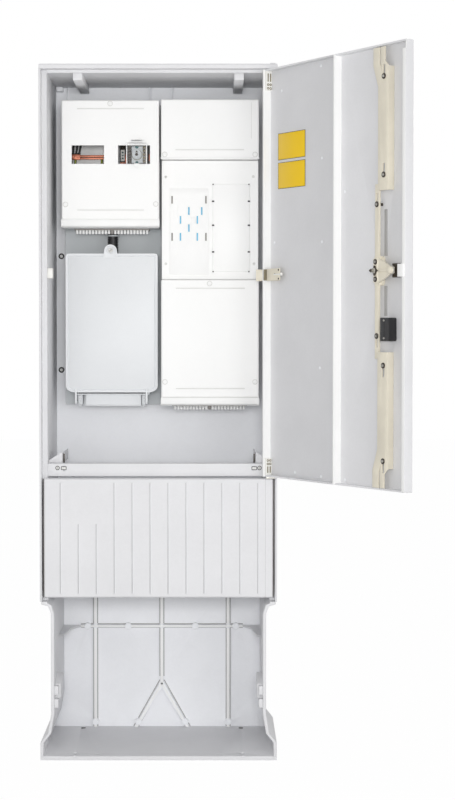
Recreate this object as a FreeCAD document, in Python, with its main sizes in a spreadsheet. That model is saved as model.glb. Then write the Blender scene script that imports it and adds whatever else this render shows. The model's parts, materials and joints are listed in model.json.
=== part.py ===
import FreeCAD
import Part
import Sketcher
import os
import re

# Electric meter cabinet on a pedestal. X to the right, Y to the back, Z up,
# millimetres, origin at the centre of the underside of the base plate.

os.makedirs("parts", exist_ok=True)
doc = FreeCAD.newDocument("meter_cabinet")
sheet = doc.addObject("Spreadsheet::Sheet", "dims")

SIZES = {
    # overall box
    "half_width": 295, "half_depth": 160, "shell_bottom": 397, "shell_top": 1718,
    "roof_thickness": 12, "roof_round": 4, "outer_skin": 5, "inner_skin": 4, "rear_skin": 6,
    "side_depth": 18, "ledge_setback": 28, "ledge_thickness": 5, "ceiling_thickness": 7,
    # pedestal
    "base_thickness": 8, "floor_rise": 12, "anchor_inset": 85, "anchor_y_inset": 30, "anchor_radius": 6,
    "pedestal_wall": 8, "foot_top": 43, "waist_inset": 27, "waist_low": 115, "waist_high": 367,
    "flange_inset": 3, "pedestal_rib": 12, "rib_width": 8, "boss_radius": 8.5, "sill_thickness": 8,
    "sill_depth": 27, "gusset_level": 286, "gusset_thickness": 5,
    # removable ribbed pedestal cover
    "cover_side_gap": 4.5, "cover_lift": 10, "pedestal_cover_wall": 4,
    "flute_width": 3, "flute_depth": 1.5, "flute_margin": 10, "flute_short": 184, "panel_round": 5,
    # crossbar and roof struts
    "crossbar_low": 708.5, "crossbar_height": 31.1, "crossbar_depth": 30, "crossbar_wall": 4,
    "strut_width": 24, "strut_height": 18, "strut_half_length": 130,
    # fields inside
    "cover_setback": 140, "cover_depth": 60, "board_gap": 36, "board_thickness": 8,
    "cover_wall": 3, "cover_round": 4, "groove_width": 3, "groove_depth": 1.2,
    "field_drop": 58, "meter_setback": 165, "field_joint": 1,
    "housing_inset": 2, "screw_head": 5, "screw_proud": 3, "window_height": 47,
    # main switch
    "switch_half": 26, "neck_half_width": 24, "neck_half_height": 21.5, "neck_front": 4,
    "knob_radius": 12, "knob_thickness": 5, "spindle_radius": 3, "fit": 0.3, "lid_wall": 1.2,
    "lid_depth": 13.7, "lid_half_width": 26,
    # service box
    "box_setback": 175, "lid_thick": 30, "box_round": 6, "box_height": 352,
    "conduit_radius": 14, "conduit_bore": 11, "duct_front": 40,
    "spout_count": 23, "spout_pitch": 8.26, "spout_radius": 3.2, "spout_length": 10,
    # door
    "door_inset": 9, "door_play": 3, "door_skin": 4, "door_rim": 20,
    "hinge_flange": 25, "strip_width": 11, "strip_thickness": 3, "door_round": 2,
    "hinge_inset": 16, "hinge_setback": 5, "hinge_pin": 2.5, "door_angle": 121.7, "door_rib_x": -22,
    # lock
    "lock_shaft": 6, "case_thickness": 9, "roller_radius": 8,
    "arm_reach": 60.5, "bar_width": 37, "bar_face": 3, "bar_rise": 22, "rod_rise": 19,
    "bar_travel": 22, "rod_width": 14, "rod_thickness": 5, "slot_width": 7.8, "guide_radius": 3.5,
    "guide_head": 7,
}
# Sizes that follow from the ones above.
FOLLOWS = {
    "inner_face": "half_width - side_depth",
    "waist_half": "half_width - waist_inset",
    "flange_half": "half_width - flange_inset",
    "anchor_x": "half_width - anchor_inset",
    "anchor_y": "half_depth - anchor_y_inset",
    "duct_y": "half_depth - rear_skin - board_gap - board_thickness - duct_front",
    "rib_x": "0.5966 * half_width",
    "crossbar_high": "crossbar_low + crossbar_height",
    "pedestal_cover_half": "half_width - outer_skin - cover_side_gap",
    "pedestal_cover_low": "shell_bottom + cover_lift",
    "pedestal_cover_top": "crossbar_low - 4.5",
    "flute_pitch": "2 * pedestal_cover_half * 0.0782",
    "flute_start": "-0.8604 * pedestal_cover_half",
    "flute_second": "-0.3923 * pedestal_cover_half",
    "flute_low": "pedestal_cover_low + flute_margin",
    "flute_high": "pedestal_cover_top - flute_margin",
    "flute_middle": "pedestal_cover_low + flute_short",
    "strut_x": "0.6797 * half_width",
    "left_cover_left": "-0.8475 * half_width",
    "left_cover_right": "-0.0051 * half_width",
    "right_cover_left": "0.0115 * half_width",
    "right_cover_right": "0.8576 * half_width",
    "upper_cover_high": "shell_top - field_drop",
    "upper_cover_low": "upper_cover_high - 152",
    "left_cover_high": "upper_cover_high - 2",
    "left_cover_step": "left_cover_high - 302.5",
    "left_cover_low": "left_cover_step - 20.5",
    "meter_plate_high": "upper_cover_low - field_joint",
    "meter_plate_low": "meter_plate_high - 304",
    "lower_cover_high": "meter_plate_low - field_joint",
    "lower_cover_low": "lower_cover_high - 321",
    "window_low": "left_cover_high - 162",
    "window_high": "window_low + window_height",
    "window_left_start": "-0.7593 * half_width",
    "window_left_end": "-0.4797 * half_width",
    "window_right_start": "-0.3593 * half_width",
    "window_right_end": "-0.0831 * half_width",
    "switch_x": "window_right_end - 33.5",
    "switch_z": "window_low + window_height / 2",
    "lid_low": "switch_z - 25.5",
    "lid_high": "switch_z + 29.5",
    "lid_axis_z": "switch_z + 35.5",
    "lid_axis_y": "cover_setback - half_depth - 7",
    "box_left": "-0.8237 * half_width",
    "box_right": "-0.0203 * half_width",
    "box_high": "left_cover_low - 65",
    "box_low": "box_high - box_height",
    "taper_low": "box_low - 12",
    "taper_left": "-0.7424 * half_width",
    "taper_right": "-0.1017 * half_width",
    "conduit_x": "-0.4203 * half_width",
    "door_half": "half_width - door_inset",
    "door_low": "crossbar_low + 1",
    "door_high": "shell_top - door_play",
    "hinge_x": "half_width - hinge_inset",
    "hinge_y": "hinge_setback - half_depth",
    "lock_x": "104.5 - door_half",
    "lock_z": "(door_low + door_high) / 2 - 5.95",
    "bar_left": "lock_x - 39.5",
    "bar_right": "bar_left + bar_width",
    "bar_front": "bar_rise - half_depth",
    "bar_back": "door_skin + fit - half_depth",
    "rod_left": "lock_x - 2.5",
    "rod_right": "rod_left + rod_width",
    "rod_front": "rod_rise - half_depth",
    "upper_bar_top": "door_high - door_skin - 3",
    "lower_bar_bottom": "door_low + door_skin + 1",
    "upper_channel_bottom": "lock_z + 180.7",
    "lower_channel_top": "lock_z - 184.3",
}
for row, (alias, size) in enumerate(SIZES.items(), start=1):
    sheet.set("A%d" % row, alias)
    sheet.set("B%d" % row, str(size))
    sheet.setAlias("B%d" % row, alias)
doc.recompute()

NODES = []
FRONT = "-half_depth"
BACK = "half_depth"
LEDGE = "ledge_setback - half_depth"
COVER_FRONT = "cover_setback - half_depth"
COVER_BACK = "cover_setback + cover_depth - half_depth"
BOARD = "half_depth - rear_skin - board_gap - board_thickness"
REAR = "half_depth - rear_skin"
DOOR_INNER = "door_skin - half_depth"


def formula(text):
    """Spreadsheet expression for a length written with the plain size names."""
    def prefixed(match):
        word = match.group(0)
        if word in FOLLOWS:
            return "(" + formula(FOLLOWS[word]) + ")"
        return "dims." + word if word in SIZES else word
    return re.sub(r"[a-z_]+", prefixed, str(text))


def wide(x):
    """Place across the cabinet that keeps its share of the width."""
    return "%.5f * half_width" % (x / 295.0)


def hung(z):
    """Level that keeps its distance below the roof, read at a roof level of 1718."""
    return "shell_top - %g" % (1718 - z)


def at_lock(z):
    """Level that keeps its distance from the lock, read at a lock level of 1206.3."""
    return "lock_z + (%g)" % (z - 1206.3)


def bind(thing, prop, text):
    thing.setExpression(prop, formula(text))


def block(x_range, y_range, z_range, name="block"):
    """Box between two limits along each axis."""
    box = doc.addObject("Part::Box", name)
    ranges = (x_range, y_range, z_range)
    for prop, (low, high) in zip(("Length", "Width", "Height"), ranges):
        bind(box, prop, "(%s) - (%s)" % (high, low))
    for axis, (low, high) in zip("xyz", ranges):
        bind(box, "Placement.Base." + axis, low)
    return box


TURNS = {
    "x": FreeCAD.Rotation(FreeCAD.Vector(0, 1, 0), 90),
    "y": FreeCAD.Rotation(FreeCAD.Vector(1, 0, 0), -90),
    "z": FreeCAD.Rotation(),
}


def rod(axis, start, radius, length, name="rod"):
    """Cylinder that starts at a point and runs along one axis."""
    cylinder = doc.addObject("Part::Cylinder", name)
    cylinder.Placement = FreeCAD.Placement(FreeCAD.Vector(), TURNS[axis])
    bind(cylinder, "Radius", radius)
    bind(cylinder, "Height", length)
    for letter, place in zip("xyz", start):
        bind(cylinder, "Placement.Base." + letter, place)
    return cylinder


def outline(body, plane, points, offset, name):
    """Closed sketch whose corners are each tied to named sizes."""
    sketch = body.newObject("Sketcher::SketchObject", name)
    role = {"XY": "XY_Plane", "XZ": "XZ_Plane", "YZ": "YZ_Plane"}[plane]
    sketch.AttachmentSupport = [(o, "") for o in body.Origin.OriginFeatures if o.Role == role]
    sketch.MapMode = "FlatFace"
    bind(sketch, "AttachmentOffset.Base.z", offset)
    count = len(points)
    turn = FreeCAD.Rotation(FreeCAD.Vector(0, 0, 1), 360.0 / count)
    corners = [FreeCAD.Vector(100, 0, 0)]
    for _ in range(count - 1):
        corners.append(turn.multVec(corners[-1]))
    for i in range(count):
        sketch.addGeometry(Part.LineSegment(corners[i], corners[(i + 1) % count]), False)
    for i in range(count):
        sketch.addConstraint(Sketcher.Constraint("Coincident", i, 2, (i + 1) % count, 1))
    for i, (across, up) in enumerate(points):
        level = sketch.addConstraint(Sketcher.Constraint("DistanceX", -1, 1, i, 1, corners[i].x))
        bind(sketch, "Constraints[%d]" % level, across)
        level = sketch.addConstraint(Sketcher.Constraint("DistanceY", -1, 1, i, 1, corners[i].y))
        bind(sketch, "Constraints[%d]" % level, up)
    return sketch


def prism(plane, points, low, high, name="prism"):
    """Body with one outline padded between two levels square to its plane."""
    body = doc.addObject("PartDesign::Body", name)
    offset = "-(%s)" % high if plane == "XZ" else low
    sketch = outline(body, plane, points, offset, name + "_outline")
    pad = body.newObject("PartDesign::Pad", name + "_pad")
    pad.Profile = sketch
    bind(pad, "Length", "(%s) - (%s)" % (high, low))
    return body


def rectangle(x_range, z_range):
    (left, right), (low, high) = x_range, z_range
    return [(left, low), (right, low), (right, high), (left, high)]


def pocket(body, sketch, depth, inwards, name):
    """Cut into the body, then make sure that the cut took material away."""
    doc.recompute()
    before = body.Shape.Volume
    cut = body.newObject("PartDesign::Pocket", name)
    cut.Profile = sketch
    bind(cut, "Length", depth)
    cut.Reversed = inwards
    doc.recompute()
    if not body.Shape.Volume < before:
        raise RuntimeError(name + " cuts nothing")
    return cut


def shell_cover(name, x_range, y_range, z_range, wall, radius):
    """Front cover with rounded front edges, hollow and open at the back."""
    low, high = y_range
    body = prism("XZ", rectangle(x_range, z_range), low, high, name)
    doc.recompute()
    pad = body.Tip
    front = pad.Shape.BoundBox.YMin
    edges = []
    for number, edge in enumerate(pad.Shape.Edges, start=1):
        ends = [v.Y for v in edge.Vertexes]
        if min(ends) < front + 0.01:
            edges.append("Edge%d" % number)
    fillet = body.newObject("PartDesign::Fillet", name + "_round")
    fillet.Base = (pad, edges)
    bind(fillet, "Radius", radius)
    inner = rectangle(inset(x_range, wall), inset(z_range, wall))
    sketch = outline(body, "XZ", inner, "-(%s)" % high, name + "_hollow")
    pocket(body, sketch, "(%s) - (%s) - (%s)" % (high, low, wall), True, name + "_pocket")
    return body


def inset(limits, wall):
    low, high = limits
    return ("(%s) + (%s)" % (low, wall), "(%s) - (%s)" % (high, wall))


def open_tray(x_range, y_range, z_range, wall):
    """Housing with a back and four sides, open at the front."""
    low, high = y_range
    outer = block(x_range, y_range, z_range)
    inner = block(inset(x_range, wall), (low, "(%s) - (%s)" % (high, wall)), inset(z_range, wall))
    return minus(outer, [inner])


def union(pieces, name="union"):
    joined = doc.addObject("Part::MultiFuse", name)
    joined.Shapes = pieces
    return joined


def group(pieces, name="group"):
    together = doc.addObject("Part::Compound", name)
    together.Links = pieces
    return together


def minus(base, tools, name="cut"):
    cut = doc.addObject("Part::Cut", name)
    cut.Base = base
    cut.Tool = tools[0] if len(tools) == 1 else group(tools)
    return cut


def node(label, thing):
    """Keep a finished piece under its own label."""
    thing.Label = label
    NODES.append(thing)
    return thing


def swing(label, thing, base=("0", "0")):
    """Finished piece of the door, turned open about the hinge line."""
    thing.Placement = FreeCAD.Placement(FreeCAD.Vector(), FreeCAD.Rotation(FreeCAD.Vector(0, 0, 1), 30))
    across = "(%s - hinge_x)" % base[0]
    deep = "(%s - hinge_y)" % base[1]
    sine = "sin(door_angle * 1 deg)"
    cosine = "cos(door_angle * 1 deg)"
    bind(thing, "Placement.Rotation.Angle", "door_angle * 1 deg")
    bind(thing, "Placement.Base.x", "hinge_x + %s * %s - %s * %s" % (across, cosine, deep, sine))
    bind(thing, "Placement.Base.y", "hinge_y + %s * %s + %s * %s" % (across, sine, deep, cosine))
    return node(label, thing)


def swing_block(label, x_range, y_range, z_range):
    return swing(label, block(x_range, y_range, z_range), ("(%s)" % x_range[0], "(%s)" % y_range[0]))


def heads(places, y_face, proud, radius):
    """Round screw heads that stand proud in front of a face."""
    start = "(%s) - (%s)" % (y_face, proud)
    return [rod("y", (x, start, z), radius, proud) for x, z in places]


def slots(places, y_face, depth, width, height):
    """Upright slots cut into a front face, given by their lower centres."""
    cuts = []
    for x, z in places:
        across = ("%s - %s / 2" % (x, width), "%s + %s / 2" % (x, width))
        deep = ("(%s) - 1" % y_face, "(%s) + %s" % (y_face, depth))
        cuts.append(block(across, deep, (z, "%s + %s" % (z, height))))
    return cuts


def groove(x_range, level, y_face):
    deep = ("(%s) - 1" % y_face, "(%s) + groove_depth" % y_face)
    high = ("%s - groove_width / 2" % level, "%s + groove_width / 2" % level)
    return block(x_range, deep, high)


# Pedestal
holes = [rod("z", (sx + "anchor_x", sy + "anchor_y", -1), "anchor_radius", "base_thickness + floor_rise + 2")
         for sx in ("", "-") for sy in ("", "-")]
small_slots = [block((wide(x), wide(x) + " + 14"), ("26 - half_depth", "30 - half_depth"),
                     (-1, "base_thickness + floor_rise")) for x in (-160, 146)]
plate = block(("-half_width", "half_width"), (FRONT, BACK), (0, "base_thickness"))
slope = [(FRONT, "base_thickness - 1"), ("half_depth - pedestal_wall", "base_thickness - 1"),
         ("half_depth - pedestal_wall", "base_thickness + floor_rise"), (FRONT, "base_thickness + 2")]
FLOOR_X = "half_width - pedestal_wall"
floor = prism("YZ", slope, "-(%s)" % FLOOR_X, FLOOR_X, "floor")
notches = [block((x + " - 3", x + " + 3"), ("-half_depth - 1", "4 - half_depth"),
                 ("base_thickness - 2", "base_thickness + 4")) for x in ("-anchor_x", "anchor_x")]
node("base_plate", minus(union([plate, floor]), holes + small_slots + notches, "base"))


def pedestal_inner(side):
    """Inner line of one pedestal wall from foot to flange."""
    steps = [("half_width - pedestal_wall", "base_thickness"),
             ("half_width - pedestal_wall", "foot_top"),
             ("waist_half", 67),
             ("waist_half - pedestal_wall", "waist_low"),
             ("waist_half - pedestal_wall", "waist_high"),
             ("waist_half - 1", 389),
             ("inner_face", 393),
             ("inner_face", "shell_bottom")]
    return [("%s(%s)" % (side, x), z) for x, z in steps]


def pedestal_outer(side):
    steps = [("half_width", "base_thickness"),
             ("half_width", "foot_top"),
             ("waist_half + pedestal_wall", 67),
             ("waist_half", "waist_low"),
             ("waist_half", "waist_high"),
             ("waist_half + 7", 386),
             ("flange_half", 390),
             ("flange_half", "shell_bottom")]
    return [("%s(%s)" % (side, x), z) for x, z in steps]


PEDESTAL_REAR = "half_depth - pedestal_wall"
for side, label in (("-", "pedestal_left_wall"), ("", "pedestal_right_wall")):
    profile = pedestal_outer(side) + pedestal_inner(side)[::-1]
    wall = prism("XZ", profile, FRONT, BACK, label + "_profile")
    curve = [("waist_half - 8", PEDESTAL_REAR), ("waist_half - 8", "half_depth - 190"),
             ("waist_half - 20", "half_depth - 175"), ("waist_half - 30", "half_depth - 60"),
             ("waist_half - 44", "half_depth - 30"), ("waist_half - 60", PEDESTAL_REAR)]
    curve = [("%s(%s)" % (side, x), y) for x, y in curve]
    gusset = prism("XY", curve, "gusset_level", "gusset_level + gusset_thickness", label + "_gusset")
    web = [("30 - half_depth", 186), ("90 - half_depth", 206), ("90 - half_depth", 150), ("30 - half_depth", 150)]
    inner = "waist_half - pedestal_wall"
    low_x, high_x = ("-(%s) - 1" % inner, "-(%s) + 14" % inner) if side else (inner + " - 14", inner + " + 1")
    node(label, union([wall, gusset, prism("YZ", web, low_x, high_x, label + "_web")]))

rear_panel = prism("XZ", pedestal_inner("-") + pedestal_inner("")[::-1], PEDESTAL_REAR, BACK, "rear_panel")
RIB = ("half_depth - pedestal_wall - pedestal_rib", PEDESTAL_REAR)
FLOOR_TOP = "base_thickness + floor_rise"
ribs = [block(("%srib_x - rib_width / 2" % s, "%srib_x + rib_width / 2" % s), RIB, (FLOOR_TOP, "shell_bottom"))
        for s in ("-", "")]
ribs.append(block(("-rib_width / 2", "rib_width / 2"), RIB, (134, "shell_bottom")))
RIB_END = "waist_half - 61"
ribs.append(block(("-(%s)" % RIB_END, RIB_END), RIB, ("gusset_level", "gusset_level + 6")))
for s in ("-", ""):
    leg = [("%s4" % s, 142), ("%s4" % ("" if s else "-"), 130), ("%s64" % s, FLOOR_TOP), ("%s73" % s, FLOOR_TOP)]
    ribs.append(prism("XZ", leg, RIB[0], RIB[1], "leg"))
boss_front = "%s - 1.5" % RIB[0]
bosses = [rod("y", (wide(x), boss_front, z), "boss_radius", "pedestal_rib + 1.5")
          for x, z in ((-196, 289), (-89, 289), (89, 289), (196, 289))]
bosses += [rod("y", (x, boss_front, 34), "boss_radius", "pedestal_rib + 1.5")
           for x in ("-rib_x", -62, 62, "rib_x")]
node("pedestal_rear_wall", union([rear_panel] + ribs + bosses))

WAIST = "waist_half - pedestal_wall"
clips = [block(x, ("2 - half_depth", "20 - half_depth"), z)
         for x in (("-(%s)" % WAIST, "10 - (%s)" % WAIST), (WAIST + " - 10", WAIST))
         for z in ((163.5, 185.5), (131, 153))]
node("pedestal_clips", group(clips))

SILL = "shell_bottom + cover_lift + 4"
node("lower_sill", block(("-inner_face", "inner_face"), (LEDGE, "%s + sill_depth" % LEDGE),
                         (SILL, SILL + " + sill_thickness")))

# Ribbed cover in front of the cable space
cover = shell_cover("pedestal_cover_body", ("-pedestal_cover_half", "pedestal_cover_half"), (FRONT, LEDGE),
                    ("pedestal_cover_low", "pedestal_cover_top"),
                    "pedestal_cover_wall", "panel_round")


def fluting(start, low, high, count, name):
    """Row of shallow upright flutes in the front of the pedestal cover."""
    across = (start, "%s + flute_width" % start)
    sketch = outline(cover, "XZ", rectangle(across, (low, high)), "half_depth", name + "_sketch")
    cut = pocket(cover, sketch, "flute_depth", False, name)
    if count > 1:
        pattern = cover.newObject("PartDesign::LinearPattern", name + "_row")
        pattern.Originals = [cut]
        pattern.Direction = (sketch, ["H_Axis"])
        bind(pattern, "Length", "flute_pitch * %d" % (count - 1))
        pattern.Occurrences = count
        cover.Tip = pattern


fluting("flute_start", "flute_low", "flute_middle", 12, "lower_flutes")
fluting("flute_start", "flute_middle", "flute_high", 1, "edge_flute")
fluting("flute_second", "flute_middle", "flute_high", 9, "upper_flutes")
node("pedestal_cover", cover)

# Cabinet shell
for side, label in (("-", "left_side_wall"), ("", "right_side_wall")):
    steps = [("half_width", FRONT), ("half_width - outer_skin", FRONT),
             ("half_width - outer_skin", LEDGE), ("inner_face", LEDGE), ("inner_face", REAR),
             ("inner_face + inner_skin", REAR),
             ("inner_face + inner_skin", "ledge_setback + ledge_thickness - half_depth"),
             ("half_width - outer_skin", "ledge_setback + ledge_thickness - half_depth"),
             ("half_width - outer_skin", BACK), ("half_width", BACK)]
    profile = [("%s(%s)" % (side, x), y) for x, y in steps]
    node(label, prism("XY", profile, "shell_bottom", "shell_top", label + "_profile"))
node("rear_wall", block(("outer_skin - half_width", "half_width - outer_skin"), (REAR, BACK),
                        ("shell_bottom", "shell_top")))

cap = prism("XY", [("-half_width", FRONT), ("half_width", FRONT), ("half_width", BACK),
                   ("-half_width", BACK)], "shell_top", "shell_top + roof_thickness", "roof_cap")
doc.recompute()
cap_pad = cap.Tip
top = cap_pad.Shape.BoundBox.ZMax
rim = ["Edge%d" % (i + 1) for i, e in enumerate(cap_pad.Shape.Edges)
       if min(v.Z for v in e.Vertexes) > top - 0.01]
cap_round = cap.newObject("PartDesign::Fillet", "roof_round_edges")
cap_round.Base = (cap_pad, rim)
bind(cap_round, "Radius", "roof_round")
ceiling = block(("-inner_face", "inner_face"), (LEDGE, REAR), ("shell_top - ceiling_thickness", "shell_top"))
raised = block(("half_width - 18", "half_width - 5"), ("10 - half_depth", "40 - half_depth"),
               ("shell_top + 5", "shell_top + roof_thickness + 3"))
node("roof", union([cap, ceiling, raised]))

BAR_INNER = "ledge_setback + crossbar_wall - half_depth"
BAR_REAR = "ledge_setback + crossbar_depth - half_depth"
channel = [(LEDGE, "crossbar_low"), (BAR_REAR, "crossbar_low"), (BAR_REAR, "crossbar_low + crossbar_wall"),
           (BAR_INNER, "crossbar_low + crossbar_wall"), (BAR_INNER, "crossbar_high - crossbar_wall"),
           (BAR_REAR, "crossbar_high - crossbar_wall"), (BAR_REAR, "crossbar_high"), (LEDGE, "crossbar_high")]
beam = prism("YZ", channel, "-inner_face", "inner_face", "crossbar_profile")
BAR_SLOT = "crossbar_low + 13.5"
node("crossbar", minus(beam, slots([(wide(-236.5), BAR_SLOT), (wide(236.5), BAR_SLOT)], LEDGE, 6, 5, 12),
                       "crossbar_cut"))
for side, label in (("-", "left_strut"), ("", "right_strut")):
    centre = "%sstrut_x" % side
    node(label, block((centre + " - strut_width / 2", centre + " + strut_width / 2"),
                      ("-strut_half_length", "strut_half_length"),
                      ("shell_top - ceiling_thickness - strut_height", "shell_top - ceiling_thickness")))
node("strike_block", block(("-inner_face", "13 - inner_face"), ("30 - half_depth", "60 - half_depth"),
                           (at_lock(1202), at_lock(1227))))
wall_rings = heads([("13 - inner_face", hung(1269)), ("12 - inner_face", hung(967))], REAR, 4, 7)
BAR_SCREW = "crossbar_low + 19.5"
bar_screws = heads([(wide(-250), BAR_SCREW), (wide(250), BAR_SCREW)], LEDGE, "screw_proud", 5)
node("shell_screws", group(wall_rings + bar_screws))

# Mounting board on stand-offs
board = block(("left_cover_left", "right_cover_right"), (BOARD, "%s + board_thickness" % BOARD),
              ("taper_low - 26", hung(1660)))
stand_offs = [block((wide(x), wide(x) + " + 30"), ("%s + board_thickness" % BOARD, REAR),
                    (hung(z), hung(z + 30))) for x in (-230, 200) for z in (950, 1580)]
node("mounting_board", union([board] + stand_offs))

# Distribution field with windows
LEFT_X = ("left_cover_left", "left_cover_right")
left_cover = shell_cover("distribution_cover_body", LEFT_X, (COVER_FRONT, COVER_BACK),
                         ("left_cover_low", "left_cover_high"), "cover_wall", "cover_round")
WINDOW_Y = ("(%s) - 1" % COVER_FRONT, "(%s) + 10" % COVER_FRONT)
WINDOW_Z = ("window_low", "window_high")
windows = [block(("window_left_start", "window_left_end"), WINDOW_Y, WINDOW_Z),
           block(("window_right_start", "window_right_end"), WINDOW_Y, WINDOW_Z)]
lines = [groove((wide(-210), wide(-40)), hung(1636), COVER_FRONT),
         groove((wide(-210), wide(-40)), hung(1379), COVER_FRONT),
         groove(("left_cover_left + 4", "left_cover_right - 4"), "left_cover_step", COVER_FRONT)]
node("distribution_cover", minus(left_cover, windows + lines, "distribution_cover_cut"))
node("distribution_housing", open_tray(inset(LEFT_X, "housing_inset"), (COVER_BACK, BOARD),
                                       ("left_cover_low + housing_inset", "left_cover_high - housing_inset"),
                                       "cover_wall"))

RAIL = "%s - 25" % BOARD
hat = [(0, 1502), (1.2, 1502), (1.2, 1508), (7.5, 1508), (7.5, 1531), (1.2, 1531),
       (1.2, 1537), (0, 1537), (0, 1530), (6.3, 1530), (6.3, 1509), (0, 1509)]
hat = [("%s + %g" % (RAIL, y), hung(z)) for y, z in hat]
node("din_rail", prism("YZ", hat, wide(-102), "left_cover_right - housing_inset - cover_wall", "rail"))
BAR_FACE = "%s - 42" % BOARD
BAR_BACK = "%s - 39" % BOARD
bars = [block((wide(-236), wide(-112)), (BAR_FACE, BAR_BACK), (hung(z), hung(z + 10)))
        for z in (1440, 1475, 1515)]
node("busbars", group(bars))
supports = [block((wide(x), wide(x) + " + 10"), (BAR_BACK, "%s - cover_wall" % BOARD), (hung(1434), hung(1530)))
            for x in (-238, -122)]
node("busbar_supports", group(supports))
CEILING = "left_cover_high - housing_inset - cover_wall"
cables = [rod("z", (wide(x), BAR_FACE + " + 1.5", hung(1525)), 3.5, "%s - (%s)" % (CEILING, hung(1525)))
          for x in (-221, -212, -203)]
node("feeder_cables", group(cables))
LEFT_INNER = "left_cover_left + housing_inset + cover_wall"
node("earth_wires", group([rod("x", (LEFT_INNER, BAR_FACE, hung(z)), 3, "0.4576 * half_width")
                           for z in (1493, 1502)]))

NECK_FRONT = "%s - neck_front" % COVER_FRONT
BLOCK_FRONT = "%s + 40" % COVER_FRONT
neck = block(("switch_x - neck_half_width", "switch_x + neck_half_width"), (NECK_FRONT, BLOCK_FRONT),
             ("switch_z - neck_half_height", "switch_z + neck_half_height"))
housing = block(("switch_x - switch_half", "switch_x + switch_half"), (BLOCK_FRONT, RAIL),
                ("switch_z - 49.5", "switch_z + 50.5"))
bore = rod("y", ("switch_x", "%s - 1" % NECK_FRONT, "switch_z"), "spindle_radius + fit", 12)
node("main_switch", minus(union([neck, housing]), [bore], "switch_cut"))

frame = block(("switch_x - 30", "switch_x + 30"), (NECK_FRONT, COVER_FRONT),
              ("switch_z - 29.5", "switch_z + 32.5"))
mouth = block(("switch_x - neck_half_width - fit", "switch_x + neck_half_width + fit"),
              ("%s - 5" % COVER_FRONT, "%s + 5" % COVER_FRONT),
              ("switch_z - neck_half_height - fit", "switch_z + neck_half_height + fit"))
ears = [block(("switch_x + (%d)" % x, "switch_x + (%d)" % (x + 6)), ("lid_axis_y - 2.5", COVER_FRONT),
              ("lid_axis_z - 4", "lid_axis_z + 3")) for x in (-20, 14)]
pin = rod("x", ("switch_x - 18", "lid_axis_y", "lid_axis_z"), 1.2, 36)
node("switch_bezel", union([minus(frame, [mouth])] + ears + [pin]))

LID_BACK = "%s - fit" % NECK_FRONT
lid_box = block(("switch_x - lid_half_width", "switch_x + lid_half_width"),
                ("%s - lid_depth" % LID_BACK, LID_BACK), ("lid_low", "lid_high"))
lid_space = block(("switch_x - lid_half_width + lid_wall", "switch_x + lid_half_width - lid_wall"),
                  ("%s - lid_depth + lid_wall" % LID_BACK, "%s + 1" % LID_BACK),
                  ("lid_low + lid_wall", "lid_high - lid_wall"))
barrel = rod("x", ("switch_x - 13.7", "lid_axis_y", "lid_axis_z"), 2.6, 27.4)
web = block(("switch_x - 13.7", "switch_x + 13.7"), ("lid_axis_y - 2.5", "lid_axis_y - 0.5"),
            ("lid_high - lid_wall", "lid_axis_z"))
eye = rod("x", ("switch_x - 15", "lid_axis_y", "lid_axis_z"), 1.5, 30)
node("switch_lid", minus(union([minus(lid_box, [lid_space]), barrel, web]), [eye], "lid_cut"))

KNOB_BACK = "%s - fit" % NECK_FRONT
disc = rod("y", ("switch_x", "%s - knob_thickness" % KNOB_BACK, "switch_z"), "knob_radius", "knob_thickness")
grip = block(("switch_x - 2.5", "switch_x + 2.5"),
             ("%s - knob_thickness - 5" % KNOB_BACK, "%s - knob_thickness + 1" % KNOB_BACK),
             ("switch_z - knob_radius + 1", "switch_z + knob_radius - 1"))
stem = rod("y", ("switch_x", "%s - 1" % KNOB_BACK, "switch_z"), "spindle_radius", 9)
node("switch_knob", union([disc, grip, stem]))


def entry_comb(label, middle, top, has_conduit):
    """Row of small cable spouts under a strip, with a hole where a conduit enters behind them."""
    half = "(spout_count - 1) / 2 * spout_pitch"
    front = "duct_y - conduit_radius - spout_radius - 3"
    strip = block(("%s - %s - 6" % (middle, half), "%s + %s + 6" % (middle, half)),
                  (front + " - 5", "duct_y + 20"), ("(%s) - 6" % top, top))
    spouts = [rod("z", ("%s - %s + %d * spout_pitch" % (middle, half, i), front,
                        "(%s) - 5.5 - spout_length" % top), "spout_radius", "spout_length")
              for i in range(SIZES["spout_count"])]
    if has_conduit:
        hole = rod("z", (middle, "duct_y", "(%s) - 10" % top), "conduit_radius + fit", 14)
        strip = minus(strip, [hole])
    node(label, union([strip] + spouts))


entry_comb("distribution_entry_comb", "conduit_x", "left_cover_low + housing_inset", True)
conduit_height = "left_cover_low + housing_inset - box_high"
tube = rod("z", ("conduit_x", "duct_y", "box_high"), "conduit_radius", conduit_height)
tube_bore = rod("z", ("conduit_x", "duct_y", "box_high - 1"), "conduit_bore", conduit_height + " + 2")
node("conduit", minus(tube, [tube_bore], "conduit_tube"))

# Meter field
RIGHT_X = ("right_cover_left", "right_cover_right")
upper = shell_cover("upper_cover_body", RIGHT_X, (COVER_FRONT, COVER_BACK),
                    ("upper_cover_low", "upper_cover_high"), "cover_wall", "cover_round")
upper_mark = groove((wide(40), wide(215)), hung(1532), COVER_FRONT)
node("upper_connection_cover", minus(upper, [upper_mark], "upper_cover_cut"))
lower = shell_cover("lower_cover_body", RIGHT_X, (COVER_FRONT, COVER_BACK),
                    ("lower_cover_low", "lower_cover_high"), "cover_wall", "cover_round")
marks = [groove((wide(41), wide(217)), hung(1180), COVER_FRONT),
         groove((wide(41), wide(217)), hung(924), COVER_FRONT),
         groove(("right_cover_left + 4", "right_cover_right - 4"), hung(902), COVER_FRONT)]
node("lower_connection_cover", minus(lower, marks, "lower_cover_cut"))
COVER_SCREWS = [(-126, 1649), (-240, 1393), (-10, 1394), (13, 1520), (243, 1520), (127, 1192), (13, 941),
                (243, 941)]
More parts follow.
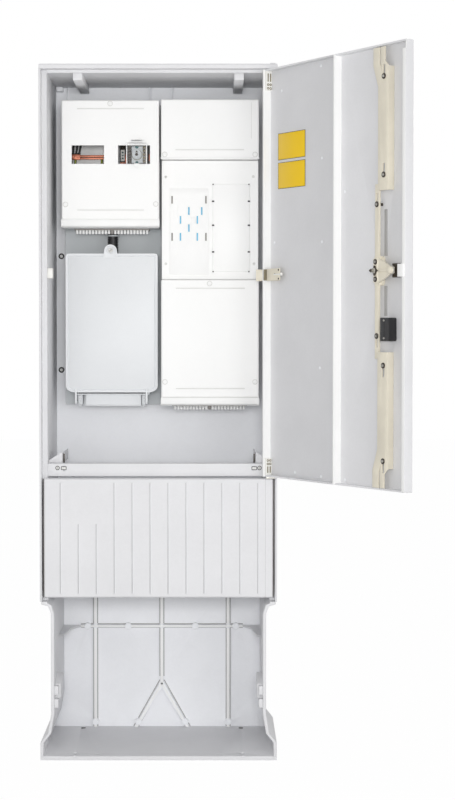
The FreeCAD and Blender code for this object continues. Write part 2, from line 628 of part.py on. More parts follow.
node("cover_screws", group(heads([(wide(x), hung(z)) for x, z in COVER_SCREWS], COVER_FRONT, "screw_proud",
                                 "screw_head")))
METER_FRONT = "meter_setback - half_depth"
node("meter_plate", shell_cover("meter_plate_body", inset(RIGHT_X, 1), (METER_FRONT, COVER_BACK),
                                ("meter_plate_low", "meter_plate_high"), "cover_wall", "door_round"))
CONTACT_FACE = "%s - 3" % METER_FRONT
contact = block((wide(25), wide(124)), (CONTACT_FACE, METER_FRONT), (hung(1216), hung(1435)))
SLOTS = [(31, 1397), (117.6, 1397), (31, 1302), (117.6, 1302), (74, 1368), (107, 1368), (52.6, 1345),
         (95.6, 1345), (74, 1325), (52.5, 1302), (95.6, 1302)]
contact_slots = slots([(wide(x), hung(z)) for x, z in SLOTS], CONTACT_FACE, 2, 4, 20)
contact_key = block((wide(81), wide(90)), ("%s - 2" % CONTACT_FACE, METER_FRONT), (hung(1345), hung(1361)))
node("contact_plate", union([minus(contact, contact_slots, "contact_cut"), contact_key]))
node("snap_panel", block((wide(135), wide(229)), ("%s - 5" % METER_FRONT, METER_FRONT), (hung(1223), hung(1446))))
clip_sides = ((wide(135) + " - 4", wide(135)), (wide(229), wide(229) + " + 4"))
node("snap_clips", group([block(x, ("%s - 4" % METER_FRONT, METER_FRONT), (hung(z - 6), hung(z + 6)))
                          for x in clip_sides for z in (1273, 1341, 1402)]))
node("meter_housing", open_tray(inset(RIGHT_X, "housing_inset"), (COVER_BACK, BOARD),
                                ("lower_cover_low + housing_inset", "upper_cover_high - housing_inset"),
                                "cover_wall"))
entry_comb("meter_entry_comb", wide(127), "lower_cover_low + housing_inset", False)

# Sealed service box below the distribution field
LID_FRONT = "box_setback - half_depth"
BOX_FRONT = "box_setback + lid_thick - half_depth"


def box_outline(wall):
    """Service box seen from the front, tapering at the bottom."""
    return [("box_left + 3 + %s" % wall, "box_low + 30"), ("taper_left + %s" % wall, "taper_low + %s" % wall),
            ("taper_right - %s" % wall, "taper_low + %s" % wall), ("box_right - 3 - %s" % wall, "box_low + 30"),
            ("box_right - 3 - %s" % wall, "box_high - %s" % wall),
            ("box_left + 3 + %s" % wall, "box_high - %s" % wall)]


box_outer = prism("XZ", box_outline("0"), BOX_FRONT, BOARD, "box_outer")
box_inner = prism("XZ", box_outline("cover_wall"), "%s - 1" % BOX_FRONT, "%s - cover_wall" % BOARD, "box_inner")
node("service_box_base", minus(box_outer, [box_inner], "service_base_cut"))
lid = shell_cover("service_lid_body", ("box_left", "box_right"), (LID_FRONT, BOX_FRONT), ("box_low", "box_high"),
                  "cover_wall", "box_round")
lug_deep = ("%s + 5" % LID_FRONT, "%s + 15" % LID_FRONT)
lug = block(("conduit_x - 17", "conduit_x + 17"), lug_deep, ("box_high - 1", "box_high + 9"))
lug_round = rod("y", ("conduit_x", lug_deep[0], "box_high + 9"), 17, 10)
node("service_box_lid", union([lid, lug, lug_round]))
PLATE_SCREWS = [(wide(x), hung(z)) for x, z in ((236.5, 1465), (240, 1243), (15, 1465), (15, 1243))]
plate_screws = heads(PLATE_SCREWS, METER_FRONT, "screw_proud", 4.5)
seal_screw = heads([("conduit_x", "box_high + 9")], "%s + 5" % LID_FRONT, "screw_proud", "screw_head")
node("plate_and_seal_screws", group(plate_screws + seal_screw))
ENTRY = (wide(-194), wide(-48))
entry_clamps = [block(x, ("%s - 40" % BOARD, BOARD), ("taper_low - 23", "taper_low"))
                for x in ((ENTRY[0] + " - 18", ENTRY[0]), (ENTRY[1], ENTRY[1] + " + 18"))]
entry_duct = block(ENTRY, ("%s - 50" % BOARD, BOARD), ("taper_low - 26", "taper_low"))
node("service_entry_box", union([entry_duct] + entry_clamps))

# Hinge pins and the stay bracket on the right-hand wall
upper_pin = rod("z", ("hinge_x", "hinge_y", "door_high - 18"), "hinge_pin", "shell_top - door_high + 18")
node("upper_hinge_pin", upper_pin)
plate = block(("inner_face - 9", "half_width - outer_skin"), (FRONT, LEDGE),
              ("pedestal_cover_top + 0.5", "crossbar_low"))
lower_pin = rod("z", ("hinge_x", "hinge_y", "crossbar_low - 1.5"), "hinge_pin", "door_low + 19.5 - crossbar_low")
node("lower_hinge_pin", union([plate, lower_pin]))
STAY_Z = (at_lock(1195), at_lock(1224))
bracket = [block(("inner_face - 34", "inner_face"), ("35 - half_depth", "39 - half_depth"), STAY_Z),
           block(("inner_face - 3", "inner_face"), ("38 - half_depth", "75 - half_depth"), STAY_Z)]
node("stay_bracket", union(bracket))

# Door, modelled shut and turned open about the hinge line
DOOR_REAR = "door_rim - half_depth"
leaf = shell_cover("door_leaf_body", ("-door_half", "door_half"), (FRONT, DOOR_REAR), ("door_low", "door_high"),
                   "door_skin", "door_round")
hinge_rim = block(("door_half - door_skin", "door_half"), ("%s - 1" % DOOR_REAR, "hinge_flange - half_depth"),
                  ("door_low", "door_high"))
strip = block(("-door_half", "strip_width - door_half"), (DOOR_REAR, "%s + strip_thickness" % DOOR_REAR),
              ("door_low + 2", "door_high - 20"))
stiffener = block(("door_rib_x - 2", "door_rib_x + 2"), ("%s - 1" % DOOR_INNER, "22 - half_depth"),
                  ("door_low + 1", "door_high - 1"))
PIN_HOLE = "hinge_pin + fit"
pin_hole_low = rod("z", ("hinge_x", "hinge_y", "door_low - 1"), PIN_HOLE, 22)
pin_hole_high = rod("z", ("hinge_x", "hinge_y", "door_high - 21"), PIN_HOLE, 22)
shaft_hole = rod("y", ("lock_x", "-half_depth - 10", "lock_z"), "lock_shaft + fit", 30)
swing("door_leaf", minus(union([leaf, hinge_rim, strip, stiffener]), [pin_hole_low, pin_hole_high, shaft_hole],
                         "door_leaf_cut"))

blocks = [block(("door_half - 28", "door_half - door_skin"), (DOOR_INNER, DOOR_REAR), z)
          for z in (("door_high - 51", "door_high - door_skin"), ("door_low + door_skin", "door_low + 45.5"))]
pin_holes = [rod("z", ("hinge_x", "hinge_y", z), PIN_HOLE, 30) for z in ("door_high - 20", "door_low - 8")]
swing("hinge_blocks", minus(group(blocks), pin_holes, "hinge_blocks_cut"))
swing_block("stay_plate", ("door_half - 75", "door_half - 18"), (DOOR_INNER, "%s + 5" % DOOR_INNER), STAY_Z)
LABEL_X = ("door_half - 156", "door_half - 38.5")
swing("label_plates", group([block(LABEL_X, (DOOR_INNER, "%s + 0.8" % DOOR_INNER), (hung(low), hung(high)))
                             for low, high in ((1489.5, 1555), (1419, 1483.5))]))
swing_block("catch_block", ("19 - door_half", "25 - door_half"), (DOOR_INNER, "22 - half_depth"),
            (at_lock(1190), at_lock(1219)))

CASE_FRONT = "%s + case_thickness" % DOOR_INNER
case = block(("lock_x - 23.5", "lock_x + 23.5"), (DOOR_INNER, CASE_FRONT), ("lock_z - 27.3", "lock_z + 26.7"))
case_bore = rod("y", ("lock_x", "-half_depth - 10", "lock_z"), "lock_shaft + fit", 30)
CASE_SCREWS = ("lock_z - 20", "lock_z + 20")
sockets = [rod("y", ("lock_x", "%s - 2" % CASE_FRONT, z), 3.5, 4) for z in CASE_SCREWS]
swing("lock_case", minus(case, [case_bore] + sockets, "case_cut"))
swing_block("lock_cover", ("lock_x - 50.5", "lock_x - 20.5"), (DOOR_INNER, "29 - half_depth"),
            (at_lock(1047), at_lock(1100)))
escutcheon = block(("lock_x - 23.5", "lock_x + 23.5"), ("-half_depth - 5", FRONT), (at_lock(1075), at_lock(1240)))
escutcheon_bore = rod("y", ("lock_x", "-half_depth - 10", "lock_z"), "lock_shaft + fit", 20)
swing("handle_plate", minus(escutcheon, [escutcheon_bore], "escutcheon_cut"))

CHANNEL_SCREWS = [("lock_x - 24.5", z) for z in ("upper_bar_top - 66", at_lock(1421.5), at_lock(992),
                                                 "lower_bar_bottom + 61.5")]
ROD_SCREWS = [("lock_x + 4.5", at_lock(1356.5)), ("lock_x + 4.5", at_lock(1058.6))]
guides = []
for face, places in (("bar_front", CHANNEL_SCREWS), ("rod_front", ROD_SCREWS)):
    for x, z in places:
        shank = rod("y", (x, DOOR_INNER, z), "guide_radius", "%s + fit + 1 - (%s)" % (face, DOOR_INNER))
        head = rod("y", (x, "%s + fit" % face, z), "guide_head", 3)
        guides.append(union([shank, head]))
case_screws = [rod("y", ("lock_x", "%s - 2" % CASE_FRONT, z), 3.5, 2) for z in CASE_SCREWS]
swing("lock_screws", group(guides + case_screws))

# Turning latch with roller and outside handle
arm_outline = [("lock_x + 2", "lock_z - 9"), ("lock_x + 2", "lock_z + 9"), ("lock_x - 9", "lock_z + 10"),
               ("lock_x - 11", "lock_z + 25"), ("lock_x - 26", "lock_z + 25"),
               ("lock_x - arm_reach", "lock_z + 9"), ("lock_x - arm_reach", "lock_z - 9"),
               ("lock_x - 26", "lock_z - 25"), ("lock_x - 11", "lock_z - 25"), ("lock_x - 9", "lock_z - 10")]
arm = prism("XZ", arm_outline, "bar_front + 0.5", "bar_front + 4.5", "latch_arm_plate")
hub = rod("y", ("lock_x", "bar_front - 0.5", "lock_z"), 10, 5)
shaft = rod("y", ("lock_x", "-half_depth - 6", "lock_z"), "lock_shaft", "half_depth + 6 + bar_front + 4.5")
swing("latch_arm", union([arm, hub, shaft]))
swing("latch_roller", group([rod("y", ("lock_x - arm_reach", "bar_front + 4.5", "lock_z"), "roller_radius", 8)]))
lever = block(("lock_x - 9.5", "lock_x + 9.5"), ("-half_depth - 17", "-half_depth - 6"),
              (at_lock(1085), at_lock(1221)))
swing("handle_lever", lever, ("(lock_x - 9.5)", "(-half_depth - 17)"))


def lock_bar(label, channel, flange, rod_range, joggle, screws, direction, plates):
    """Sliding bar: pressed channel, flat rod, joint between them, slots for guides."""
    face = block(("bar_left", "bar_right"), ("bar_front - bar_face", "bar_front"), channel)
    sides = [block(("bar_left", "bar_left + bar_face"), ("bar_back", "bar_front - bar_face + 1"), flange),
             block(("bar_right - bar_face", "bar_right"), ("bar_back + 8", "bar_front - bar_face + 1"), channel)]
    flat = block(("rod_left", "rod_right"), ("rod_front - rod_thickness", "rod_front"), rod_range)
    step = block(("bar_left", "rod_right"), ("rod_front - rod_thickness", "rod_front"), joggle)
    cuts = []
    for x, z in screws:
        start = "%s - slot_width / 2" % z if direction > 0 else "%s - bar_travel - slot_width / 2" % z
        end = "%s + bar_travel + slot_width / 2" % z if direction > 0 else "%s + slot_width / 2" % z
        across = ("%s - slot_width / 2" % x, "%s + slot_width / 2" % x)
        cuts.append(block(across, ("8 - half_depth", "30 - half_depth"), (start, end)))
    swing(label, minus(union([face, flat, step] + sides + plates), cuts, label + "_slotted"))


def prongs(end, towards):
    """Forked end of a lock bar: two bent fingers with a gap between them."""
    left = [("bar_right", 88), ("bar_right - 17", 68), ("bar_right - 5", 36), ("bar_right - 5", 0),
            ("bar_right + 18", 0), ("bar_right + 18", 40)]
    right = [("bar_left + 19", 78), ("bar_left", 88), ("bar_left", 44), ("bar_left + 12", 32), ("bar_left + 12", 0),
             ("bar_left + 27", 0), ("bar_left + 27", 40)]
    face = ("bar_front - bar_face", "bar_front")
    return [prism("XZ", [(x, "%s %s %g" % (end, towards, z)) for x, z in finger], face[0], face[1], "prong")
            for finger in (left, right)]


UPPER_SCREWS = [CHANNEL_SCREWS[0], CHANNEL_SCREWS[1], ROD_SCREWS[0]]
LOWER_SCREWS = [CHANNEL_SCREWS[2], CHANNEL_SCREWS[3], ROD_SCREWS[1]]
lock_bar("upper_lock_bar", ("upper_channel_bottom", "upper_bar_top - 60"),
         ("upper_channel_bottom", "upper_bar_top - 44"), ("lock_z + 31.7", "upper_channel_bottom + 15"),
         ("upper_channel_bottom", "upper_channel_bottom + 15"), UPPER_SCREWS, 1, prongs("upper_bar_top", "-"))
lock_bar("lower_lock_bar", ("lower_bar_bottom + 60", "lower_channel_top"),
         ("lower_bar_bottom + 44", "lower_channel_top"), ("lower_channel_top - 15", "lock_z - 32.3"),
         ("lower_channel_top - 15", "lower_channel_top"), LOWER_SCREWS, -1, prongs("lower_bar_bottom", "+"))

doc.recompute()
for thing in doc.Objects:
    if "Invalid" in thing.State or "Error" in thing.State:
        raise RuntimeError("%s is %s" % (thing.Name, thing.State))
for thing in NODES:
    if thing.Shape.isNull() or not thing.Shape.isValid() or not thing.Shape.Solids:
        raise RuntimeError(thing.Label + " has no valid solid")
    thing.Shape.exportStep("parts/%s.step" % thing.Label)
    print(thing.Label, len(thing.Shape.Solids), round(thing.Shape.Volume / 1000.0, 1))
print(len(NODES), "nodes")
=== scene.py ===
import json
import math

import bmesh
import bpy
from mathutils import Matrix, Vector


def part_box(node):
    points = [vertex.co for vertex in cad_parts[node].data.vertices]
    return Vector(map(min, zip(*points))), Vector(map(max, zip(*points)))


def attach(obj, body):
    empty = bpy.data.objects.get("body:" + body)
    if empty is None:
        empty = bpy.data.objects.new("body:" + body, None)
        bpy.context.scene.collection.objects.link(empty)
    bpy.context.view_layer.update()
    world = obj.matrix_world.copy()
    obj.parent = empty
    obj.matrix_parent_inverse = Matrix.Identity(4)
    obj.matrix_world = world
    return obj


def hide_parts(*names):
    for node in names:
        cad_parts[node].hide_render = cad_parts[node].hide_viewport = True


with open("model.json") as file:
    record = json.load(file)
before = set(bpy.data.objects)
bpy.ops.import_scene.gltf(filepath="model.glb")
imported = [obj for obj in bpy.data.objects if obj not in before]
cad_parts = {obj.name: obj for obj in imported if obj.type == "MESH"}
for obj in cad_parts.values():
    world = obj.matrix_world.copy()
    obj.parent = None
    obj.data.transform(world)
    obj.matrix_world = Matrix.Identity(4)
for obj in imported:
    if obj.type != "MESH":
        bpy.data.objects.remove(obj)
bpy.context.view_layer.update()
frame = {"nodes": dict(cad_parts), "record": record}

# Electric meter cabinet with its door open, dressed over the solid model.
# The scene is in metres. Pieces are drawn in millimetres, those of the door on the shut door.

NODES = frame["nodes"]
BODY_OF = {node: body for body, nodes in frame["record"]["behaviour"]["bodies"].items() for node in nodes}
SLOT_OF = {entry["node"]: entry["material_slot"] for entry in frame["record"]["subparts"]}
DOOR_ANGLE = math.radians(121.7)
HINGE = Vector((0.279, -0.155, 0))
DOOR_TURN = Matrix.Translation(HINGE) @ Matrix.Rotation(DOOR_ANGLE, 4, "Z") @ Matrix.Translation(-HINGE)

# Directions that screws and rings face
FORWARD = (0, -1, 0)
INWARD = (0, 1, 0)

# Planes and axes that several pieces share, in millimetres
COVER_FRONT = -20
METER_FRONT = 5
BOX_FRONT = 15
BEAM_FRONT = -132
BEAM_TOP = 739.7
RIB_FRONT = 139.4
PANEL_FRONT = 150.4
REAR_WALL = 154
CEILING = 1710.8
DOOR_SKIN = -156
KNOB_AXIS = (-58.01, 1519.5)
SPINDLE = (-181.5, 1206.3)
ROLLER = (-240, 1206.3)

# Angles between faces, and distances in metres within which two corners are one
FLAT = math.radians(0.5)
SHARP = math.radians(35)
HARD = math.radians(50)
TOUCHING = 0.00001
SEAM = 0.000002


def mm(*sizes):
    return Vector([size / 1000.0 for size in sizes])


def screen_colour(red, green, blue):
    """Linear colour for a colour read off a screen."""
    return tuple((c / 255.0 / 12.92 if c < 10.3 else ((c / 255.0 + 0.055) / 1.055) ** 2.4)
                 for c in (red, green, blue)) + (1.0,)


# Shader arithmetic
class Level:
    """One number in a shader, so that sums of them read as plain arithmetic."""

    def __init__(self, finish, socket):
        self.finish = finish
        self.socket = socket

    def math(self, operation, first, second):
        return self.finish.node("ShaderNodeMath", {"operation": operation}, {0: first, 1: second})

    def __add__(self, other):
        return self.math("ADD", self, other)

    def __rsub__(self, other):
        return self.math("SUBTRACT", other, self)

    def __mul__(self, other):
        return self.math("MULTIPLY", self, other)

    def clamped(self, low, high):
        return self.math("MINIMUM", self.math("MAXIMUM", self, low), high)


class Finish:
    """A material, or the air of the room, whose nodes are all placed by one method."""

    def __init__(self, name, room=None):
        self.material = room or bpy.data.materials.new(name)
        self.material.use_nodes = True
        self.tree = self.material.node_tree
        self.tree.nodes.clear()
        self.place = self.node("ShaderNodeTexCoord", {}, {}, "Object")

    def node(self, kind, settings, sockets, output=0):
        made = self.tree.nodes.new(kind)
        for key, value in settings.items():
            setattr(made, key, value)
        for key, value in sockets.items():
            if isinstance(value, Level):
                self.tree.links.new(value.socket, made.inputs[key])
            else:
                made.inputs[key].default_value = value
        return None if output is None else Level(self, made.outputs[output])

    def noise(self, scale, detail=2.0, rough=0.5, place=None):
        return self.node("ShaderNodeTexNoise", {}, {"Vector": place or self.place, "Scale": scale,
                                                    "Detail": detail, "Roughness": rough}, "Fac")

    def stretched(self, x, y, z):
        return self.node("ShaderNodeMapping", {}, {"Vector": self.place, "Scale": (x, y, z)})

    def cells(self, scale):
        return self.node("ShaderNodeTexVoronoi", {}, {"Vector": self.place, "Scale": scale}, "Distance")

    def blend(self, amount, colour_a, colour_b):
        return self.node("ShaderNodeMix", {"data_type": "RGBA"}, {0: amount, 6: colour_a, 7: colour_b}, 2)

    def band(self, value, low, high):
        """0 below low, 1 above high, smooth between."""
        return self.node("ShaderNodeMapRange", {"interpolation_type": "SMOOTHSTEP"},
                         {"Value": value, "From Min": low, "From Max": high})

    def bump(self, height, depth):
        return self.node("ShaderNodeBump", {}, {"Height": height, "Distance": depth, "Strength": 1.0}, "Normal")

    def surface(self, **sockets):
        named = {key.replace("_", " "): value for key, value in sockets.items()}
        shader = self.node("ShaderNodeBsdfPrincipled", {}, named, "BSDF")
        self.node_output(shader)
        return self.material

    def node_output(self, shader, kind="ShaderNodeOutputMaterial"):
        self.node(kind, {}, {"Surface": shader}, None)

    def looked_at(self):
        """1 for what the camera sees: straight, in a reflection or through a clear piece."""
        rays = [self.node("ShaderNodeLightPath", {}, {}, name)
                for name in ("Is Camera Ray", "Is Glossy Ray", "Is Transmission Ray")]
        return (rays[0] + rays[1] + rays[2]).clamped(0.0, 1.0)


def tinted(colour, factor):
    return tuple(min(1.0, c * factor) for c in colour[:3]) + (1.0,)


def moulded(name, colour, grain=700.0, grain_depth=0.00006, mottle=0.035, rough=0.5):
    """Moulded plastic with a fine grain, faint flow clouds and specks in the pigment."""
    finish = Finish(name)
    clouds = finish.noise(7.0, 3.0, 0.6)
    fibres = finish.noise(160.0, 3.0, 0.7)
    peel = finish.noise(grain, 2.0, 0.6)
    specks = 1.0 - finish.band(finish.cells(420.0), 0.05, 0.16)
    wash = finish.band(clouds * 0.7 + fibres * 0.3, 0.3, 0.7)
    body = finish.blend(wash, tinted(colour, 1.0 - mottle), tinted(colour, 1.0 + mottle * 0.6))
    body = finish.blend(specks * 0.10, body, tinted(colour, 0.55))
    gloss = (clouds * 0.14 + peel * 0.08 + (rough - 0.10)).clamped(0.1, 0.95)
    relief = finish.bump(peel * 0.7 + fibres * 0.5, grain_depth)
    return finish.surface(Base_Color=body, Roughness=gloss, Normal=relief, IOR=1.48)


def painted_steel(name, colour):
    """Powder coat on pressed steel: a pebbled surface, worn towards bare metal in specks."""
    finish = Finish(name)
    clouds = finish.noise(18.0, 3.0)
    peel = finish.noise(520.0, 2.0)
    chips = finish.band(finish.noise(260.0, 4.0, 0.75), 0.72, 0.76)
    body = finish.blend(finish.band(clouds, 0.3, 0.7), tinted(colour, 0.95), tinted(colour, 1.03))
    body = finish.blend(chips * 0.5, body, screen_colour(150, 146, 136))
    gloss = (clouds * 0.15 + 0.3).clamped(0.1, 0.9)
    return finish.surface(Base_Color=body, Roughness=gloss, Normal=finish.bump(peel, 0.00008), IOR=1.5)


def bare_metal(name, colour, rough, stretch):
    """Drawn or plated metal with fine streaks and a little tarnish."""
    finish = Finish(name)
    streaks = finish.noise(60.0, 4.0, place=finish.stretched(*stretch))
    tarnish = finish.band(finish.noise(45.0, 4.0, 0.65), 0.45, 0.75)
    body = finish.blend(tarnish * 0.35, colour, tinted(colour, 0.6))
    gloss = (streaks * 0.2 + tarnish * 0.15 + rough).clamped(0.05, 0.9)
    return finish.surface(Base_Color=body, Metallic=1.0, Roughness=gloss, Normal=finish.bump(streaks, 0.00004))


def clear_cover(name):
    """Clear plastic, seen by a faint haze and its shine."""
    finish = Finish(name)
    haze = finish.noise(30.0, 3.0)
    veil = (haze * 0.012 + 0.005).clamped(0.0, 1.0)
    return finish.surface(Base_Color=screen_colour(226, 232, 234), Roughness=0.08, Alpha=veil, IOR=1.5)


def earth_wire(name):
    """Green sheath with the yellow stripe wound round it."""
    finish = Finish(name)
    stripes = finish.node("ShaderNodeTexWave", {"bands_direction": "Y"},
                          {"Vector": finish.place, "Scale": 60.0, "Distortion": 0.4}, "Fac")
    scuff = finish.noise(300.0)
    green, yellow = screen_colour(52, 92, 36), screen_colour(150, 158, 48)
    body = finish.blend(finish.band(stripes, 0.45, 0.55), green, yellow)
    return finish.surface(Base_Color=body, Roughness=(scuff * 0.2 + 0.35).clamped(0.1, 0.9),
                          Normal=finish.bump(scuff, 0.00004))


FINISHES = {
    "housing_grey": moulded("housing_grey", screen_colour(226, 226, 228)),
    # Rear white also serves as painted highlight on the flute beads and as painted lightening of the pedestal's
    # rear wall.
    "rear_white": moulded("rear_white", screen_colour(246, 247, 250)),
    # Cover white also serves as painted highlight on the door's upright folds and on the rib crests.
    "cover_white": moulded("cover_white", screen_colour(248, 248, 247), grain=900.0, mottle=0.012, rough=0.45),
    "board_grey": moulded("board_grey", screen_colour(196, 200, 202)),
    "box_grey": moulded("box_grey", screen_colour(231, 233, 235), grain=900.0, mottle=0.02, rough=0.42),
    "white_fitting": moulded("white_fitting", screen_colour(242, 241, 236), rough=0.4),
    # Screw grey also serves as painted shade in the pressed cover lines and the rings round the cover screws.
    "white_screw": moulded("white_screw", screen_colour(224, 224, 221), rough=0.4),
    # Black plastic also serves as painted shade in the rings round the rear-wall screws.
    "black_plastic": moulded("black_plastic", screen_colour(38, 38, 40), rough=0.4, mottle=0.08),
    "cable_black": moulded("cable_black", screen_colour(30, 30, 31), mottle=0.1),
    "wire_green": earth_wire("wire_green"),
    "copper": bare_metal("copper", screen_colour(176, 114, 94), 0.36, (1.0, 20.0, 20.0)),
    "steel": bare_metal("steel", screen_colour(186, 184, 178), 0.3, (20.0, 20.0, 1.0)),
    "lock_cream": painted_steel("lock_cream", screen_colour(231, 224, 206)),
    "label_yellow": moulded("label_yellow", screen_colour(247, 204, 0), grain=1200.0, grain_depth=0.00002,
                            mottle=0.02, rough=0.35),
    "clear": clear_cover("clear"),
    "insert_blue": moulded("insert_blue", screen_colour(112, 190, 224), grain=1500.0, rough=0.4),
    # Insert grey also serves as painted shade in the strips behind the cable spouts.
    "insert_grey": moulded("insert_grey", screen_colour(150, 146, 142), grain=1500.0),
    # Spindle black also serves as painted shade behind the switch terminals and between the latch roller and
    # the catch.
    "spindle_black": moulded("spindle_black", screen_colour(58, 50, 42), grain=1500.0, rough=0.35,
                             mottle=0.1),
    # Dark bronze, also used as painted shade in the gap at the stay plate.
    "bronze_and_painted_shade": painted_steel("bronze_and_painted_shade", screen_colour(132, 124, 102)),
    "bar_shade": moulded("bar_shade", screen_colour(172, 171, 170)),
    "flute_shade": moulded("flute_shade", screen_colour(205, 205, 206)),
    "panel_white": moulded("panel_white", screen_colour(254, 254, 253), grain=900.0, mottle=0.01, rough=0.45),
    "mark_teal": moulded("mark_teal", screen_colour(52, 92, 92), grain=1500.0),
}


# Shapes, in millimetres
def block(mould, low, high, easing=0.0):
    """Box between two corners, its edges eased."""
    low, high = mm(*low), mm(*high)
    place = Matrix.Translation((low + high) / 2) @ Matrix.Diagonal((*(high - low), 1.0))
    corners = bmesh.ops.create_cube(mould, size=1.0, matrix=place)["verts"]
    if easing:
        edges = list(dict.fromkeys(edge for corner in corners for edge in corner.link_edges))
        bmesh.ops.bevel(mould, geom=edges, offset=easing / 1000.0, offset_type="OFFSET", affect="EDGES",
                        segments=2, profile=0.5, material=-1, clamp_overlap=True)


def facing(direction):
    return Vector(direction).to_track_quat("Z", "Y").to_matrix().to_4x4()


def rod(mould, start, end, radius, far_radius=None, sides=16):
    """Round bar between two points, tapering if it has a far radius."""
    start, end = mm(*start), mm(*end)
    far_radius = radius if far_radius is None else far_radius
    bmesh.ops.create_cone(mould, cap_ends=True, segments=sides, radius1=radius / 1000.0,
                          radius2=far_radius / 1000.0, depth=(end - start).length,
                          matrix=Matrix.Translation((start + end) / 2) @ facing(end - start))


def turned(mould, profile, place, direction=(0, 0, 1), steps=24):
    """Round shape spun from its profile of radius and height, standing on a point."""
    before = set(mould.verts)
    line = [mould.verts.new(mm(radius, 0, height)) for radius, height in profile]
    edges = [mould.edges.new(pair) for pair in zip(line, line[1:])]
    bmesh.ops.spin(mould, geom=line + edges, cent=(0, 0, 0), axis=(0, 0, 1), dvec=(0, 0, 0),
                   angle=math.tau, steps=steps, use_merge=True, use_duplicate=False)
    fresh = [vert for vert in mould.verts if vert not in before]
    bmesh.ops.remove_doubles(mould, verts=fresh, dist=SEAM)
    fresh = [vert for vert in mould.verts if vert not in before]
    bmesh.ops.transform(mould, matrix=Matrix.Translation(mm(*place)) @ facing(direction), verts=fresh)


def washer(mould, place, direction, outer, inner, height):
    """Ring with eased front edges."""
    profile = [(inner, 0), (outer, 0), (outer, height * 0.6), (outer - height * 0.4, height),
               (inner + height * 0.3, height), (inner, height * 0.7), (inner, 0)]
    turned(mould, profile, place, direction)


def screw_head(mould, place, direction, radius, height, recess="cross", turn=20.0):
    """Head with a rounded rim and a pressed recess."""
    before = set(mould.verts)
    loops = []
    for rim, level in ((radius, 0.0), (radius, height * 0.6), (radius * 0.84, height)):
        ring = bmesh.ops.create_circle(mould, cap_ends=False, segments=20, radius=rim / 1000.0,
                                       matrix=Matrix.Translation(mm(0, 0, level)))
        loops.append(ring["verts"])
    arm = radius * 0.58
    half = radius * 0.14
    quarter = [(arm, -half), (arm, half), (half, half)]
    if recess == "cross":
        outline = [turn_point(point, 90.0 * k) for k in range(4) for point in quarter]
    else:
        outline = [(arm, -half), (arm, half), (-arm, half), (-arm, -half)]
    for level in (height, height * 0.3):
        ring = [mould.verts.new(mm(*turn_point(point, turn), level)) for point in outline]
        for pair in zip(ring, ring[1:] + ring[:1]):
            mould.edges.new(pair)
        loops.append(ring)
    for first, second in zip(loops, loops[1:]):
        rims = dict.fromkeys(edge for ring in (first, second) for vert in ring for edge in vert.link_edges
                             if edge.other_vert(vert) in ring)
        bmesh.ops.bridge_loops(mould, edges=list(rims))
    for ring in (loops[0], loops[-1]):
        mould.faces.new(ring)
    fresh = [vert for vert in mould.verts if vert not in before]
    bmesh.ops.transform(mould, matrix=Matrix.Translation(mm(*place)) @ facing(direction), verts=fresh)


def turn_point(point, degrees):
    angle = math.radians(degrees)
    across, up = point
    return (across * math.cos(angle) - up * math.sin(angle), across * math.sin(angle) + up * math.cos(angle))


def plate(mould, corners, front, back, rounding=0.0, rounded=None):
    """Flat piece cut to an outline seen from the front; gives back its front face."""
    before = set(mould.faces)
    outline = [mould.verts.new(mm(across, front, up)) for across, up in corners]
    mould.faces.new(outline)
    if rounding:
        chosen = outline if rounded is None else [outline[i] for i in rounded]
        bmesh.ops.bevel(mould, geom=chosen, offset=rounding / 1000.0, offset_type="OFFSET", affect="VERTICES",
                        segments=5, profile=0.5, material=-1)
    sheet = [face for face in mould.faces if face not in before]
    grown = bmesh.ops.extrude_face_region(mould, geom=sheet)["geom"]
    moved = [item for item in grown if isinstance(item, bmesh.types.BMVert)]
    bmesh.ops.translate(mould, vec=mm(0, back - front, 0), verts=moved)
    fresh = [face for face in mould.faces if face not in before]
    bmesh.ops.recalc_face_normals(mould, faces=fresh)
    level = front / 1000.0
    return [face for face in fresh if all(abs(vert.co.y - level) < TOUCHING for vert in face.verts)]


def stepped(mould, faces, *steps):
    """Narrow some faces all round by each width in turn, and raise or sink them by its depth."""
    for width, depth in steps:
        bmesh.ops.inset_region(mould, faces=faces, thickness=width / 1000.0, depth=depth / 1000.0,
                               use_boundary=True, use_even_offset=True)


def soften(mould, radius):
    """Round the hard edges."""
    hard = [edge for edge in mould.edges if len(edge.link_faces) == 2 and edge.calc_face_angle(0) > HARD]
    bmesh.ops.bevel(mould, geom=hard, offset=radius / 1000.0, offset_type="OFFSET", affect="EDGES",
                    segments=2, profile=0.5, material=-1, clamp_overlap=True)


def copied(node, turn=None):
    """Mesh of a solid with its loose triangles joined into whole faces, turned first if need be."""
    mould = bmesh.new()
    mould.from_mesh(NODES[node].data)
    if turn:
        bmesh.ops.transform(mould, matrix=turn, verts=mould.verts)
    bmesh.ops.remove_doubles(mould, verts=mould.verts, dist=TOUCHING)
    bmesh.ops.dissolve_limit(mould, angle_limit=FLAT, verts=mould.verts, edges=mould.edges)
    return mould


def soften_copy(mould, radius):
    """Round the hard edges of a copied solid, and cut up its faces of many corners."""
    soften(mould, radius)
    bmesh.ops.triangulate(mould, faces=[face for face in mould.faces if len(face.verts) > 4])


# Pieces
def finished(name, mould, body, slot_name, stands_for=(), finish=None):
    """Object at the origin made from a bmesh, riding on a body, with its finish."""
    mesh = bpy.data.meshes.new(name)
    mould.to_mesh(mesh)
    mould.free()
    piece = bpy.data.objects.new(name, mesh)
    bpy.context.scene.collection.objects.link(piece)
    mesh.materials.append(FINISHES[finish or slot_name])
    mesh.shade_smooth()
    mesh.set_sharp_from_angle(angle=SHARP)
    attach(piece, body)
    if stands_for:
        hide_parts(*stands_for)
    return piece


